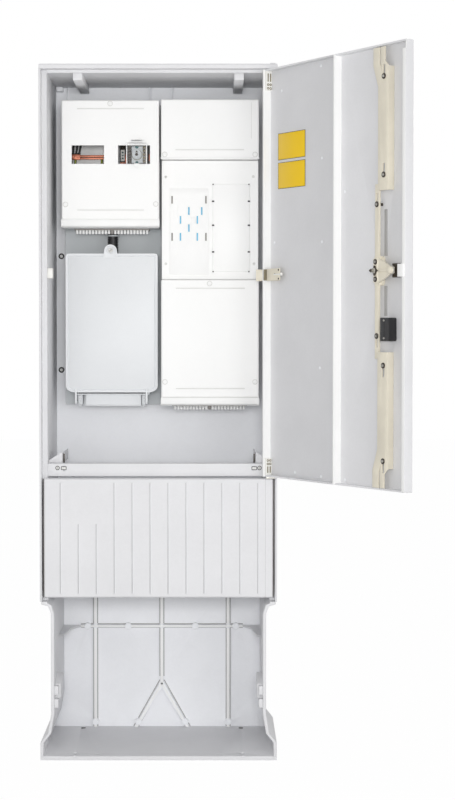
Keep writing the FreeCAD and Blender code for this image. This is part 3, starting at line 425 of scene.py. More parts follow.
def fitted(name, mould, body, slot_name, stands_for=(), finish=None):
    """New piece: faces turned outwards, and swung open first if it was drawn on the shut door."""
    bmesh.ops.recalc_face_normals(mould, faces=mould.faces)
    if body in ("door", "latch"):
        bmesh.ops.transform(mould, matrix=DOOR_TURN, verts=mould.verts)
    return finished(name, mould, body, slot_name, stands_for, finish)


def eased(node, radius, finish=None):
    """Copy of a solid with its hard edges rounded."""
    mould = copied(node)
    soften_copy(mould, radius)
    finished(node + "_eased", mould, BODY_OF[node], SLOT_OF[node], (node,), finish)


# Service box with its lid, lug, inlet and clamps
def service_lid():
    outline = [(-228, 913), (-21, 913), (-6.5, 922.5), (-6.5, 1269.8), (-243, 1269.8), (-243, 922.5)]
    lug_outline = [(-146.5, 1257), (-108.5, 1257), (-113.5, 1292.8), (-141.5, 1292.8)]
    mould = bmesh.new()
    rim = plate(mould, outline, BOX_FRONT, 44.9, rounding=8)
    stepped(mould, rim, (4.2, 0), (0.6, -3.6), (2.2, 0), (0.9, 3.0))
    lug = plate(mould, lug_outline, 11.5, 30, rounding=13, rounded=(2, 3))
    stepped(mould, lug, (2.6, 0), (0.5, -3.4))
    soften(mould, 0.5)
    washer(mould, (-127.5, 14, 1278), FORWARD, 9.2, 6.3, 2.6)
    fitted("service_box_lid_moulded", mould, "cabinet", "box_grey", ("service_box_lid",))


def service_entry():
    """Entry under the box, with a ribbed leg and a bent strap at each side."""
    mould = bmesh.new()
    front = plate(mould, [(-195, 877), (-51, 877), (-51, 909), (-195, 909)], 60, 108, rounding=4)
    stepped(mould, front, (1.4, 0), (0.7, -0.9))
    block(mould, (-196, 57.5, 876.5), (-50, 62, 880), 0.8)
    for left, right, strap in ((-215.5, -203, -219.5), (-50, -39, -37.5)):
        block(mould, (left, 66, 880), (right, 109, 909), 1.2)
        for level in (881.5, 890, 898.5):
            block(mould, (left + 1.5, 63, level), (right - 1.5, 67, level + 5.5), 0.8)
        block(mould, (left + 2, 60, 876.5), (right - 2, 80, 881), 1.5)
        block(mould, (strap, 12.4, 886), (strap + 5, 17, 923), 0.8)
        block(mould, (strap, 12.4, 884), (strap + 5, 70, 888), 0.8)
    for left, right in ((-202.5, -196.5), (-50.8, -50.2)):
        block(mould, (left, 96, 878), (right, 108, 909), 0.2)
    fitted("service_box_entry", mould, "cabinet", "box_grey", ("service_entry_box",))


def corrugated_conduit():
    across, depth = -124, 70
    low, high = 1270.2, 1336.5
    bore, valley, ridge, pitch = 11, 12.3, 13.9, 4.1
    wave = ((valley, 0.0), (ridge, 0.7), (ridge, 2.3), (valley, 3.0))
    ridges = [(radius, pitch * i + lift) for i in range(16) for radius, lift in wave]
    mould = bmesh.new()
    profile = [(bore, 0)] + ridges + [(valley, high - low), (bore, high - low), (bore, 0)]
    turned(mould, profile, (across, depth, low), steps=32)
    fitted("conduit_corrugated", mould, "cabinet", "black_plastic", ("conduit",))
    mould = bmesh.new()
    washer(mould, (across, depth, 1316), (0, 0, 1), 16.5, 14.1, 3.5)
    fitted("conduit_collar", mould, "cabinet", "board_grey")


def entry_comb(node, middle, top, pitch):
    """Row of soft cable spouts, with one larger blank in the middle."""
    mould = bmesh.new()
    # The strip behind the spouts is drawn in the darker insert grey as painted shade between the spouts.
    block(mould, (middle - 97, 43, top - 6), (middle + 97, 89.5, top - 0.1), 0.8)
    fitted(node + "_strip", mould, "cabinet", "board_grey", (node,), finish="insert_grey")
    spout = [(0, 0), (1.9, 0.1), (3.0, 1.0), (3.5, 2.6), (3.4, 5.4), (2.9, 7.2), (3.5, 10.2), (0, 10.2)]
    blank = [(0, 0), (2.0, 0.1), (3.6, 1.2), (4.2, 4.0), (4.6, 10.2), (0, 10.2)]
    mould = bmesh.new()
    for number in range(-11, 12):
        if number:
            turned(mould, spout, (middle + number * pitch, 49.8, top - 16), steps=12)
    fitted(node + "_spouts", mould, "cabinet", "white_fitting", finish="cover_white")
    mould = bmesh.new()
    turned(mould, blank, (middle, 49.8, top - 15.5), steps=16)
    fitted(node + "_blank", mould, "cabinet", "board_grey", finish="insert_grey")


service_lid()
service_entry()
corrugated_conduit()
entry_comb("distribution_entry_comb", -125.0, 1337.0, 8.22)
entry_comb("meter_entry_comb", 126.7, 883.0, 8.08)


# What the two windows show
def busbar_window():
    wide_bar, thin_bar = 10, 5.2
    rail_level, foot, rise = 1521.5, 1526, 90
    mould = bmesh.new()
    for level, height in ((1440, wide_bar), (1475, wide_bar), (1515.6, thin_bar), (1521.6, thin_bar)):
        block(mould, (-236, 68, level), (-112, 71, level + height), 0.5)
    block(mould, (-232, 63, 1514), (-208, 68, 1529), 1.0)
    fitted("busbars_plated", mould, "cabinet", "copper", ("busbars",))
    mould = bmesh.new()
    for across, depth in ((-226, 63), (-214, 63), (-130, 68)):
        screw_head(mould, (across, depth, rail_level), FORWARD, 3.6, 2.6, "slot", 60)
    fitted("busbar_bolts", mould, "cabinet", "copper")
    mould = bmesh.new()
    for across, lean in ((-227.3, 0.07), (-219.6, 0.14), (-211.8, 0.19)):
        rod(mould, (across, 70, foot), (across + lean * rise, 70, foot + rise), 2.7)
        rod(mould, (across, 69.5, foot), (across + lean * 6, 69.5, foot + 6), 3.6)
    rod(mould, (-231.5, 66, 1512), (-232.5, 66, 1462), 3.4)
    fitted("feeder_cables_leaning", mould, "cabinet", "cable_black", ("feeder_cables",))
    mould = bmesh.new()
    for across in (-221.4, -152.6):
        rod(mould, (across, 74.5, 1446), (across, 74.5, foot), 3.2)
    fitted("earth_wires_upright", mould, "cabinet", "wire_green", ("earth_wires",))
    # The backing is drawn in the whiter cover finish instead of the board grey: partly its own pale colour,
    # partly painted light for the dim inside of the box.
    mould = bmesh.new()
    block(mould, (-243.5, 79, 1436), (-108, 81, 1600), 0.4)
    for across in range(-236, -110, 21):
        block(mould, (across, 78.2, 1438), (across + 1.2, 79.4, 1598), 0.3)
    fitted("busbar_backing", mould, "cabinet", "board_grey", finish="cover_white")


def switch_window():
    """Switch body with its ribbed columns, the terminals beside it and their copper, and a dark block behind
    the terminals as painted shade.
    """
    low, high, face = 1498.2, 1540.8, -16
    mould = bmesh.new()
    block(mould, (-71.6, face, low), (-43.4, 20, high), 0.9)
    block(mould, (-84, 20, 1470), (-32, 85, 1570), 1.2)
    fitted("main_switch_moulded", mould, "cabinet", "board_grey", ("main_switch",))
    mould = bmesh.new()
    block(mould, (-81.6, -8, low), (-71.4, 20.5, high), 0.6)
    block(mould, (-43.6, -8, low), (-34.4, 20.5, high), 0.6)
    for level in range(1500, 1540, 7):
        block(mould, (-42, -10.5, level), (-36, -7, level + 2.4), 0.4)
    fitted("switch_columns", mould, "cabinet", "board_grey", finish="insert_grey")
    mould = bmesh.new()
    washer(mould, (-58, face, 1519.5), FORWARD, 13.6, 12.4, 0.9)
    for level in range(1501, 1539, 9):
        block(mould, (-43.2, -11, level), (-36.5, -7.5, level + 4.5), 0.4)
    fitted("switch_ring", mould, "cabinet", "board_grey", finish="bronze_and_painted_shade")
    mould = bmesh.new()
    for level in range(1499, 1540, 8):
        block(mould, (-81.4, -12, level), (-72.0, -7, level + 6.6), 0.4)
    block(mould, (-30.2, 14, 1490), (-24.8, 40, 1550), 0.4)
    block(mould, (-40.6, -10.4, 1499), (-38.2, -7.6, 1540), 0.3)
    # Dark block behind the terminal block: painted shade of the deep housing behind it.
    block(mould, (-104, 66, 1480), (-86, 85, 1560), 1.0)
    fitted("switch_terminals", mould, "cabinet", "black_plastic", finish="spindle_black")
    mould = bmesh.new()
    block(mould, (-102, 44, 1509), (-92, 66.5, 1538), 0.8)
    block(mould, (-30.5, 44, 1496), (-26.5, 85, 1560), 0.6)
    fitted("terminal_block", mould, "cabinet", "white_fitting")
    upper_mark = [(-58, 1534.5), (-53.5, 1538), (-53.5, 1540.6), (-62.5, 1540.6), (-62.5, 1538)]
    lower_mark = [(-62, 1498.4), (-54, 1498.4), (-54.6, 1501.8), (-58, 1504), (-61.4, 1501.8)]
    mould = bmesh.new()
    for level in (1516, 1523.5, 1531):
        turned(mould, [(0, 0.5), (2.1, 0.5), (2.6, 0), (0, 0)], (-97, 44, level), FORWARD, 12)
    for mark in (upper_mark, lower_mark):
        plate(mould, mark, face - 0.5, face + 0.2)
    fitted("switch_marks", mould, "cabinet", "board_grey", finish="mark_teal")
    mould = bmesh.new()
    block(mould, (-91, 42, 1497), (-87, 52, 1526), 0.6)
    block(mould, (-104, 42, 1494), (-90, 52, 1506), 0.6)
    block(mould, (-28.6, 12.8, 1506), (-26.2, 14.4, 1524), 0.3)
    fitted("terminal_copper", mould, "cabinet", "copper")


def switch_knob():
    front, back = (corner[1] * 1000.0 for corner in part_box("switch_knob"))
    across, level = KNOB_AXIS
    dish = [(0, 0), (12, 0), (12, 2.4), (11, 3.4), (9.2, 3.4), (8.4, 2.8), (0, 2.8)]
    dot = [(0, 0), (3.7, 0), (3.7, 0.5), (3.1, 0.9), (0, 0.9)]
    mould = bmesh.new()
    turned(mould, dish, (across, front + 5, level), FORWARD, 40)
    block(mould, (-60.6, front + 0.2, 1510.5), (-55.4, front + 3, 1528.5), 1.2)
    rod(mould, (across, front + 3, level), (across, back, level), 2.8)
    fitted("switch_knob_moulded", mould, "switch_knob", "board_grey", ("switch_knob",))
    mould = bmesh.new()
    turned(mould, dot, (across, front + 0.5, 1518.6), FORWARD, 16)
    plate(mould, [(-61.8, 1523.4), (-54.2, 1523.4), (across, 1529.2)], front - 0.1, front + 0.4)
    fitted("switch_knob_marks", mould, "switch_knob", "board_grey", finish="spindle_black")


def lid_frame():
    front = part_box("switch_lid")[0][1] * 1000.0
    tab_outline = [(-61.5, 1484.5), (-54.5, 1484.5), (-51.5, 1495.5), (-64.5, 1495.5)]
    mould = bmesh.new()
    for left in (-84.2, -34.0):
        block(mould, (left, front - 0.2, 1494.5), (left + 2.2, front + 1.6, 1548.5), 0.4)
    block(mould, (-84.2, front - 0.2, 1547.6), (-31.8, front + 1.6, 1548.6), 0.2)
    tab = plate(mould, tab_outline, front, front + 1.4, rounding=2, rounded=(0, 1))
    stepped(mould, tab, (1.0, -0.5))
    fitted("switch_lid_frame", mould, "switch_lid", "white_fitting", finish="cover_white")


busbar_window()
switch_window()
switch_knob()
lid_frame()


# Screws, rings and clips
def front_screws():
    covers = [(-126, 1649, 30), (-240, 1393, 75), (-10, 1394, 10), (13, 1520, 50), (243, 1520, 20),
              (127, 1192, 65), (13, 941, 35), (243, 941, 80)]
    plates = [(238.4, 1465.5, 20), (240.4, 1243, 60), (15, 1465, 0), (15, 1243, 40)]
    mould = bmesh.new()
    for across, level, turn in covers:
        screw_head(mould, (across, COVER_FRONT, level), FORWARD, 5.0, 2.0, "cross", turn)
    fitted("cover_screws_cross", mould, "cabinet", "white_screw", ("cover_screws",), finish="cover_white")
    # Rings in the darker screw grey round each cover screw: painted shade of the recess round the head.
    mould = bmesh.new()
    for across, level, _ in covers:
        washer(mould, (across, COVER_FRONT + 0.2, level), FORWARD, 7.0, 5.2, 0.7)
    fitted("cover_screw_shade_rings", mould, "cabinet", "white_screw")
    mould = bmesh.new()
    for across, level, turn in plates:
        screw_head(mould, (across, METER_FRONT, level), FORWARD, 3.6, 1.6, "cross", turn)
    screw_head(mould, (-127.5, 13.6, 1278), FORWARD, 5.9, 3.0, "slot", 40)
    fitted("plate_screws_cross", mould, "cabinet", "white_screw", ("plate_and_seal_screws",))


def shell_screws():
    """Screws of the rear wall, and those of the crossbar with the oblong hole beside each."""
    wall = [(-264.5, 153.8, 1268.6), (-265.2, 153.8, 968.3)]
    beam = [(-252.7, BEAM_FRONT, 728.8), (251.9, BEAM_FRONT, 728.8)]
    mould = bmesh.new()
    # The black rings round the rear-wall screws are painted shade of the recess round each screw.
    for place in wall:
        washer(mould, place, FORWARD, 7.6, 4.4, 3.4)
    for place in beam:
        washer(mould, place, FORWARD, 5.4, 4.0, 0.9)
    for left, right in ((-244, -230.2), (232, 245.7)):
        oblong = [(left, 723.8), (right, 723.8), (right, 732.6), (left, 732.6)]
        plate(mould, oblong, BEAM_FRONT - 0.7, BEAM_FRONT, rounding=1.5)
    fitted("shell_screw_rings", mould, "cabinet", "black_plastic", ("shell_screws",))
    mould = bmesh.new()
    for place in wall:
        screw_head(mould, place, FORWARD, 4.3, 2.4, "cross", 30)
    for place in beam:
        screw_head(mould, place, FORWARD, 3.9, 1.6, "slot", 70)
    for left, right in ((-242.6, -231.6), (233.4, 244.3)):
        block(mould, (left, BEAM_FRONT - 0.9, 725.2), (right, BEAM_FRONT, 731.2), 0.4)
    fitted("shell_screws_cross", mould, "cabinet", "white_screw")


def cover_beads():
    """Pressed lines of the four covers, in the darker screw grey as painted shade of the pressing, and the lips
    along their lower edges.
    """
    lines = [(-210, -40, 1636), (-210, -40, 1379), (40, 215, 1532), (41, 217, 1180), (41, 217, 924),
             (7, 249.5, 902)]
    # Lines in the darker screw grey: painted shade along the pressed lines.
    mould = bmesh.new()
    for left, right, level in lines:
        block(mould, (left, COVER_FRONT - 0.3, level - 0.9), (right, COVER_FRONT + 0.4, level + 0.7), 0.2)
    block(mould, (233, COVER_FRONT - 0.2, 1560), (234, COVER_FRONT + 0.4, 1652), 0.2)
    fitted("cover_lines", mould, "cabinet", "cover_white", finish="white_screw")
    back = COVER_FRONT + 0.3
    mould = bmesh.new()
    for left, right, low, high in ((-251.2, -0.4, 1335, 1355.4), (2.4, 254, 881, 901)):
        block(mould, (left, COVER_FRONT - 2.6, low), (right, back, high), 1.1)
        block(mould, (left + 1, COVER_FRONT - 2.6, low + 1.5), (right - 1, 12, low + 3.5), 0.6)
    block(mould, (2.6, COVER_FRONT - 1.6, 1508.2), (253.8, back, 1513), 0.8)
    fitted("cover_lips", mould, "cabinet", "cover_white")


def pedestal_lines():
    """Painted shade along the floors of the flutes in the lower cover, lighter beads beside them as a painted
    highlight, and the joints at its sides.
    """
    foot = 417.5
    flutes = [(-245.6 + 44.65 * number, 590.5 if number in (1, 2) else 693.5) for number in range(12)]
    # Strips on the floor of each flute in a darker grey: painted shade in the flutes.
    mould = bmesh.new()
    for left, high in flutes:
        block(mould, (left + 0.3, -158.9, foot), (left + 2.7, -158.3, high), 0.2)
    block(mould, (265.6, -160.1, 408), (266.6, -159.6, 703), 0.1)
    fitted("flute_painted_shade", mould, "cabinet", "housing_grey", finish="flute_shade")
    # Beads beside them in the whiter rear finish: painted highlight along the flute edges.
    mould = bmesh.new()
    for left, high in flutes:
        block(mould, (left + 3.0, -160.6, foot), (left + 4.4, -159.6, high), 0.4)
    fitted("flute_beads", mould, "cabinet", "housing_grey", finish="rear_white")
    mould = bmesh.new()
    for side in (-1, 1):
        block(mould, (side * 286.2 - 0.6, -160.2, 407.5), (side * 286.2 + 0.6, -154, 703.5), 0.1)
    fitted("cover_joints", mould, "cabinet", "housing_grey", finish="spindle_black")


def pedestal_ribs():
    """Rounded crests on the ribs of the rear wall, in the whiter cover finish as a painted highlight, and the
    line of painted shade at their feet.
    """
    crest_back, shade_back = RIB_FRONT + 1.0, PANEL_FRONT + 1.9
    crests = bmesh.new()
    shades = bmesh.new()
    for across, crest_foot, shade_foot in ((-176, 20.5, 20.5), (0, 134, 154), (176, 20.5, 20.5)):
        for crest_low, shade_low, high in ((crest_foot, shade_foot, 283), (295, 295, 396.5)):
            block(crests, (across - 3.4, RIB_FRONT, crest_low), (across + 3.4, crest_back, high), 0.4)
            for edge in (across - 5.2, across + 5.2):
                block(shades, (edge - 1.3, PANEL_FRONT, shade_low), (edge + 1.3, shade_back, high), 0.3)
    block(crests, (-215, RIB_FRONT, 286.8), (215, crest_back, 291.4), 0.4)
    for level in (284.6, 293.6):
        for left, right in ((-215, -182), (-170, -6), (6, 170), (182, 215)):
            block(shades, (left, PANEL_FRONT, level - 1.2), (right, shade_back, level + 1.2), 0.3)
    crest = ((1, 139), (-1, 133), (66, 21), (71, 21))
    outer_shade = ((4.6, 144), (7.0, 144), (76, 21), (73.4, 21))
    inner_shade = ((-2, 127), (0.4, 124), (61, 21), (63.4, 21))
    for side in (-1, 1):
        plate(crests, [(side * across, level) for across, level in crest], RIB_FRONT, crest_back)
        for outline in (outer_shade, inner_shade):
            plate(shades, [(side * across, level) for across, level in outline], PANEL_FRONT, shade_back)
    # Crests in the whiter cover finish are a painted highlight on the ribs; the strips at their feet are
    # painted shade.
    fitted("rib_crests", crests, "cabinet", "rear_white", finish="cover_white")
    fitted("rib_feet_shade", shades, "cabinet", "rear_white", finish="bar_shade")


def pedestal_bosses():
    """Rims of the bosses, the dark holes in the floor and the brackets behind the crossbar."""
    upper = [(across, 289) for across in (-196, -89, 89, 196)]
    lower = [(across, 34) for across in (-176, -62, 62, 176)]
    mould = bmesh.new()
    for across, level in upper + lower:
        washer(mould, (across, RIB_FRONT - 1.0, level), FORWARD, 8.8, 6.2, 1.6)
    fitted("pedestal_boss_rims", mould, "cabinet", "housing_grey", finish="rear_white")
    mould = bmesh.new()
    for across in (-207.5, 209.4):
        block(mould, (across - 5.5, 126, 15), (across + 5.5, 134, 20.7), 0.4)
    for side in (-1, 1):
        block(mould, (side * 239 - 1.9, -98, BEAM_TOP), (side * 239 + 1.9, -95, 762), 0.2)
    fitted("shell_slots", mould, "cabinet", "black_plastic", finish="spindle_black")
    bracket = ((276.9, BEAM_TOP), (241, BEAM_TOP), (241, 765), (246, 765), (276.9, 746))
    mould = bmesh.new()
    for side in (-1, 1):
        plate(mould, [(side * across, level) for across, level in bracket], -97, -92)
        block(mould, (side * 242 - 1, -97, BEAM_TOP), (side * 242 + 1, 60, 765), 0.3)
    fitted("crossbar_brackets", mould, "cabinet", "housing_grey")


def meter_plate_details():
    """Clips of the snap panel, and the upright inserts and slider of the contact plate."""
    clips = [(across, level) for across in (136, 227.5) for level in (1402.5, 1341.3, 1273.3)]
    corner_clips = [(136, 1445.6), (227.6, 1445.6), (136, 1223), (227.6, 1223)]
    blue = [(74, 1377.5), (107, 1377.5), (52.5, 1355.6), (95.8, 1355.6), (74, 1333.6), (52.5, 1311.9),
            (95.8, 1311.9)]
    grey = [(31.1, 1406), (117.6, 1406), (31.1, 1311.9), (117.6, 1311.9)]
    mould = bmesh.new()
    for across, level in clips:
        block(mould, (across - 3, -0.9, level - 1.9), (across + 3, 3, level + 1.9), 0.5)
    for across, level in corner_clips:
        block(mould, (across - 1.6, -0.6, level - 1.6), (across + 1.6, 3, level + 1.6), 0.5)
    fitted("snap_clips_notched", mould, "cabinet", "black_plastic", ("snap_clips",))
    mould = bmesh.new()
    for across, level in blue:
        block(mould, (across - 1.8, 2.2, level - 10), (across + 1.8, 4, level + 10), 0.3)
    block(mould, (81.4, 0.2, 1345.6), (89.4, 2.5, 1361), 0.8)
    fitted("contact_inserts_blue", mould, "cabinet", "board_grey", finish="insert_blue")
    mould = bmesh.new()
    for across, level in grey:
        block(mould, (across - 1.8, 2.3, level - 10), (across + 1.8, 4, level + 10), 0.3)
    fitted("contact_inserts_grey", mould, "cabinet", "board_grey", finish="insert_grey")
    outline = [(34.4, 1358.8), (46.4, 1358.8), (46.4, 1407.1), (34.4, 1407.1)]
    mould = bmesh.new()
    slider = plate(mould, outline, 1.1, 3, rounding=4)
    stepped(mould, slider, (0.9, 0), (0.5, -0.8))
    fitted("contact_slider", mould, "cabinet", "cover_white")


def rear_ribs():
    """Ribs at the top of the rear wall, with the corner block at their left."""
    mould = bmesh.new()
    for across in (-32.5, 26.5):
        block(mould, (across, 138, 1672), (across + 2.6, REAR_WALL, CEILING), 0.6)
        block(mould, (across + 5.5, 150, 1672), (across + 6.7, REAR_WALL, CEILING), 0.4)
    block(mould, (-275, 128, 1699), (-258, REAR_WALL, CEILING), 1.5)
    block(mould, (-250, 146, 1676), (-247, REAR_WALL, CEILING), 0.8)
    fitted("rear_wall_ribs", mould, "cabinet", "rear_white")


front_screws()
shell_screws()
cover_beads()
pedestal_lines()
pedestal_ribs()
pedestal_bosses()
meter_plate_details()
rear_ribs()


# The door and its fittings
def door_fittings():
    """Hinge blocks with their slots, and the two blank plates with a dark border."""
    mould = bmesh.new()
    for low, high in ((1664, 1711), (713.6, 755)):
        block(mould, (275.6, DOOR_SKIN, low), (281.9, -139, high), 0.8)
    fitted("hinge_blocks_moulded", mould, "door", "white_fitting", ("hinge_blocks",))
    mould = bmesh.new()
    for depth in (-144.2, -151.4):
        for low, high in ((1685, 1705), (719, 735)):
            block(mould, (275.2, depth - 1.7, low), (275.9, depth + 1.7, high), 0.2)
        for level in (1677.5, 1668.5, 749.5, 741):
            washer(mould, (275.7, depth, level), (-1, 0, 0), 3.2, 1.4, 0.7)
    fitted("hinge_block_slots", mould, "door", "black_plastic", finish="bronze_and_painted_shade")
    plates = ((1489.7, 1554.8), (1419.2, 1483.3))
    mould = bmesh.new()
    for low, high in plates:
        block(mould, (130.9, DOOR_SKIN, low + 0.7), (246.6, -155.1, high - 0.7), 0.2)
    fitted("label_plates_blank", mould, "door", "label_yellow", ("label_plates",))
    left, right, edge = 130.2, 247.3, 1.1
    back, front = -155.4, -155.0
    mould = bmesh.new()
    for low, high in plates:
        block(mould, (left, back, low), (right, front, low + edge))
        block(mould, (left, back, high - edge), (right, front, high))
        block(mould, (left, back, low), (left + edge, front, high))
        block(mould, (right - edge, back, low), (right, front, high))
    fitted("label_borders", mould, "door", "black_plastic", finish="spindle_black")


def stay_hinge():
    """Folded plate near the hinge side, with a dark block as painted shade in the gap at its flange, its pin
    and three rivets.
    """
    low, high, edge, face = 1194.6, 1224, 274.5, -139.5
    mould = bmesh.new()
    block(mould, (219, face - 4, low), (edge, face, high), 0.9)
    for level in (low, high - 2.5):
        block(mould, (244, DOOR_SKIN, level), (edge, face - 0.5, level + 2.5), 0.6)
    block(mould, (edge - 2.5, DOOR_SKIN, low), (edge, face - 0.5, high), 0.6)
    fitted("stay_plate_folded", mould, "door", "lock_cream", ("stay_plate",))
    # Dark block against the flange: painted shade of the gap between the plate and the flange.
    mould = bmesh.new()
    block(mould, (277, -150, 1195.5), (281.8, -134.4, 1223), 0.8)
    block(mould, (273.5, -149, 1199), (277.5, -146.5, 1219), 0.6)
    fitted("stay_gap_painted_shade", mould, "door", "lock_cream", finish="bronze_and_painted_shade")
    mould = bmesh.new()
    rod(mould, (240, -138.6, 1209.3), (209.5, -138.6, 1209.3), 1.9)
    block(mould, (206.5, -141.5, 1205.6), (213, -137.5, 1213), 1.2)
    fitted("stay_pin", mould, "door", "white_fitting")
    mould = bmesh.new()
    for across, level in ((238, 1210.5), (221.5, 1220), (221.5, 1198.5)):
        screw_head(mould, (across, face, level), INWARD, 2.2, 1.0, "slot", 20)
    fitted("stay_rivets", mould, "door", "black_plastic", finish="spindle_black")


def door_skin():
    """Copy of the leaf with rounded folds, its upright folds in the whiter cover finish as a painted highlight.

    The stiffener down the middle is drawn nearer the hinge and a little deeper than the solid's.
    """
    mould = copied("door_leaf", DOOR_TURN.inverted())
    stiffener = [vert for vert in mould.verts if -0.0245 < vert.co.x < -0.0195 and vert.co.y > -0.1565]
    crest = [vert for vert in stiffener if vert.co.y > -0.140]
    bmesh.ops.translate(mould, vec=mm(7, 0, 0), verts=stiffener)
    bmesh.ops.translate(mould, vec=mm(0, 2.5, 0), verts=crest)
    soften_copy(mould, 0.9)
    for face in mould.faces:
        across, depth = face.calc_center_median()[:2]
        fold = -0.0175 < across < -0.0125 or across > 0.2815 or -0.2852 < across < -0.2745
        # Upright folds get the whiter cover finish: painted highlight where they face the light.
        face.material_index = 1 if fold and depth > -0.1557 else 0
    bmesh.ops.transform(mould, matrix=DOOR_TURN, verts=mould.verts)
    leaf = finished("door_leaf_folded", mould, "door", "housing_grey", ("door_leaf",))
    leaf.data.materials.append(FINISHES["cover_white"])


def door_rivets():
    places = [(232.9, 1658.6), (61.4, 1480.7), (66.2, 1699.1), (-31.7, 1394.9), (60.7, 1282.5), (264, 1288.4),
              (68.4, 982.4), (173.6, 726.4), (63, 723.1), (-34.3, 721.7)]
    head = [(0, 0), (3.6, 0), (3.4, 0.5), (2.2, 1.0), (0, 1.2)]
    mould = bmesh.new()
    for across, level in places:
        turned(mould, head, (across, DOOR_SKIN - 0.1, level), INWARD, 16)
    fitted("door_rivets", mould, "door", "housing_grey", finish="rear_white")


def guide_screws():
    """Screws that guide the two lock bars, and those of the lock cover."""
    channel = [(-206, -137.9, level) for level in (1642, 1421.5, 992, 776)]
    flat_rod = [(-177, -140.9, level) for level in (1356.5, 1058.6)]
    mould = bmesh.new()
    for place in channel + flat_rod:
        washer(mould, place, INWARD, 6.6, 3.6, 2.2)
        rod(mould, (place[0], DOOR_SKIN, place[2]), place, 3.4)
    fitted("lock_screw_collars", mould, "door", "black_plastic", ("lock_screws",), finish="spindle_black")
    mould = bmesh.new()
    for number, (across, depth, level) in enumerate(channel + flat_rod):
        screw_head(mould, (across, depth + 0.4, level), INWARD, 3.4, 3.0, "slot", 25 + 40 * number)
    for level in (1093.6, 1053.6):
        screw_head(mould, (-217, -131.2, level), INWARD, 2.4, 1.4, "cross", 30)
    fitted("lock_screws_steel", mould, "door", "steel")


def lock_case():
    """Pressed case of the lock, the shaded strips above and below it, and its moulded cover."""
    mould = bmesh.new()
    block(mould, (-186, DOOR_SKIN, 1173), (-168, -140.6, 1239.5), 0.8)
    block(mould, (-189, DOOR_SKIN, 1176), (-185, -147, 1236), 0.6)
    fitted("lock_case_pressed", mould, "door", "lock_cream", ("lock_case",))
    mould = bmesh.new()
    for low, high in ((1104, 1172), (1240, 1345)):
        block(mould, (-197, DOOR_SKIN - 0.1, low), (-187, -154.6, high), 0.3)
    fitted("bar_shade_strips", mould, "door", "housing_grey", finish="bar_shade")
    outline = [(-232, 1047), (-202, 1047), (-202, 1100), (-232, 1100)]
    mould = bmesh.new()
    plate(mould, outline, -131.4, DOOR_SKIN, rounding=4, rounded=(0, 3))
    soften(mould, 1.2)
    block(mould, (-217.8, -131.6, 1050), (-216.4, -130.9, 1097), 0.3)
    fitted("lock_cover_moulded", mould, "door", "black_plastic", ("lock_cover",))


def catch():
    mould = bmesh.new()
    block(mould, (-283, -140, 1190.5), (-262, -133.5, 1219.5), 1.2)
    block(mould, (-264, DOOR_SKIN, 1190.5), (-261.5, -134, 1219.5), 0.8)
    fitted("catch_block_moulded", mould, "door", "lock_cream", ("catch_block",), finish="cover_white")
    # Dark block between the roller and the catch: painted shade behind the roller.
    mould = bmesh.new()
    block(mould, (-247, DOOR_SKIN, 1190), (-221, -150.5, 1222), 1.2)
    fitted("catch_painted_shadow", mould, "door", "black_plastic", finish="spindle_black")


def latch():
    """Lever that the handle turns, with its star and spindle, two screws and the roller."""
    axis, middle = SPINDLE
    screws = [(axis, 1187.0), (axis, 1226.3)]
    star = [turn_point((0, 5.6 if k % 2 else 11.5), 45.0 * k) for k in range(8)]
    mould = bmesh.new()
    plate(mould, [(axis + across, middle + up) for across, up in star], -128.5, -133.4)
    rod(mould, (axis, -120.5, middle), (axis, -116.5, middle), 4.4, 1.6, sides=8)
    fitted("latch_star", mould, "latch", "black_plastic", finish="spindle_black")
    outline = [(-187, 1178.5), (-206, 1184), (-232, 1196.5), (-246, 1199.5), (-246, 1213), (-232, 1216),
               (-206, 1228.5), (-187, 1234.5)]
    mould = bmesh.new()
    lever = plate(mould, outline, -134, -138.6)
    stepped(mould, lever, (2.2, 0), (0.8, -1.0))
    block(mould, (-240, -134.6, 1203.5), (-188, -132.6, 1209), 0.7)
    block(mould, (-189, -140.2, 1179), (-173, -133.6, 1234), 0.8)
    rod(mould, (axis, -166, middle), (axis, -134, middle), 5.0)
    fitted("latch_arm_pressed", mould, "latch", "lock_cream", ("latch_arm",))
    mould = bmesh.new()
    for across, level in screws:
        washer(mould, (across, -134, level), INWARD, 6.4, 3.4, 2.6)
    fitted("latch_arm_collars", mould, "latch", "black_plastic", finish="spindle_black")
    mould = bmesh.new()
    for number, (across, level) in enumerate(screws):
        screw_head(mould, (across, -133.6, level), INWARD, 3.2, 3.4, "slot", 40 + 60 * number)
    fitted("latch_arm_screws", mould, "latch", "steel")
    dome = [(0, 0), (8.4, 0), (8.4, 5.6), (7.6, 7.2), (6, 8), (0, 8.4)]
    roller_ring = [(0, 0), (10.2, 0), (10.2, 1.2), (9.4, 1.8), (0, 1.8)]
    hub = [(0, 0), (6.4, 0), (6.4, 1.6), (4.4, 2.6), (4.0, 9.2), (0, 9.2)]
    roller, roller_level = ROLLER
    mould = bmesh.new()
    turned(mould, dome, (roller, -133.5, roller_level), INWARD, 28)
    fitted("latch_roller_domed", mould, "latch", "lock_cream", ("latch_roller",))
    mould = bmesh.new()
    turned(mould, roller_ring, (roller, -135.3, roller_level), INWARD, 28)
    turned(mould, hub, (axis, -129, middle), INWARD, 20)
    fitted("latch_washer", mould, "latch", "steel")


door_skin()
door_rivets()
door_fittings()
stay_hinge()
guide_screws()
lock_case()
catch()
latch()


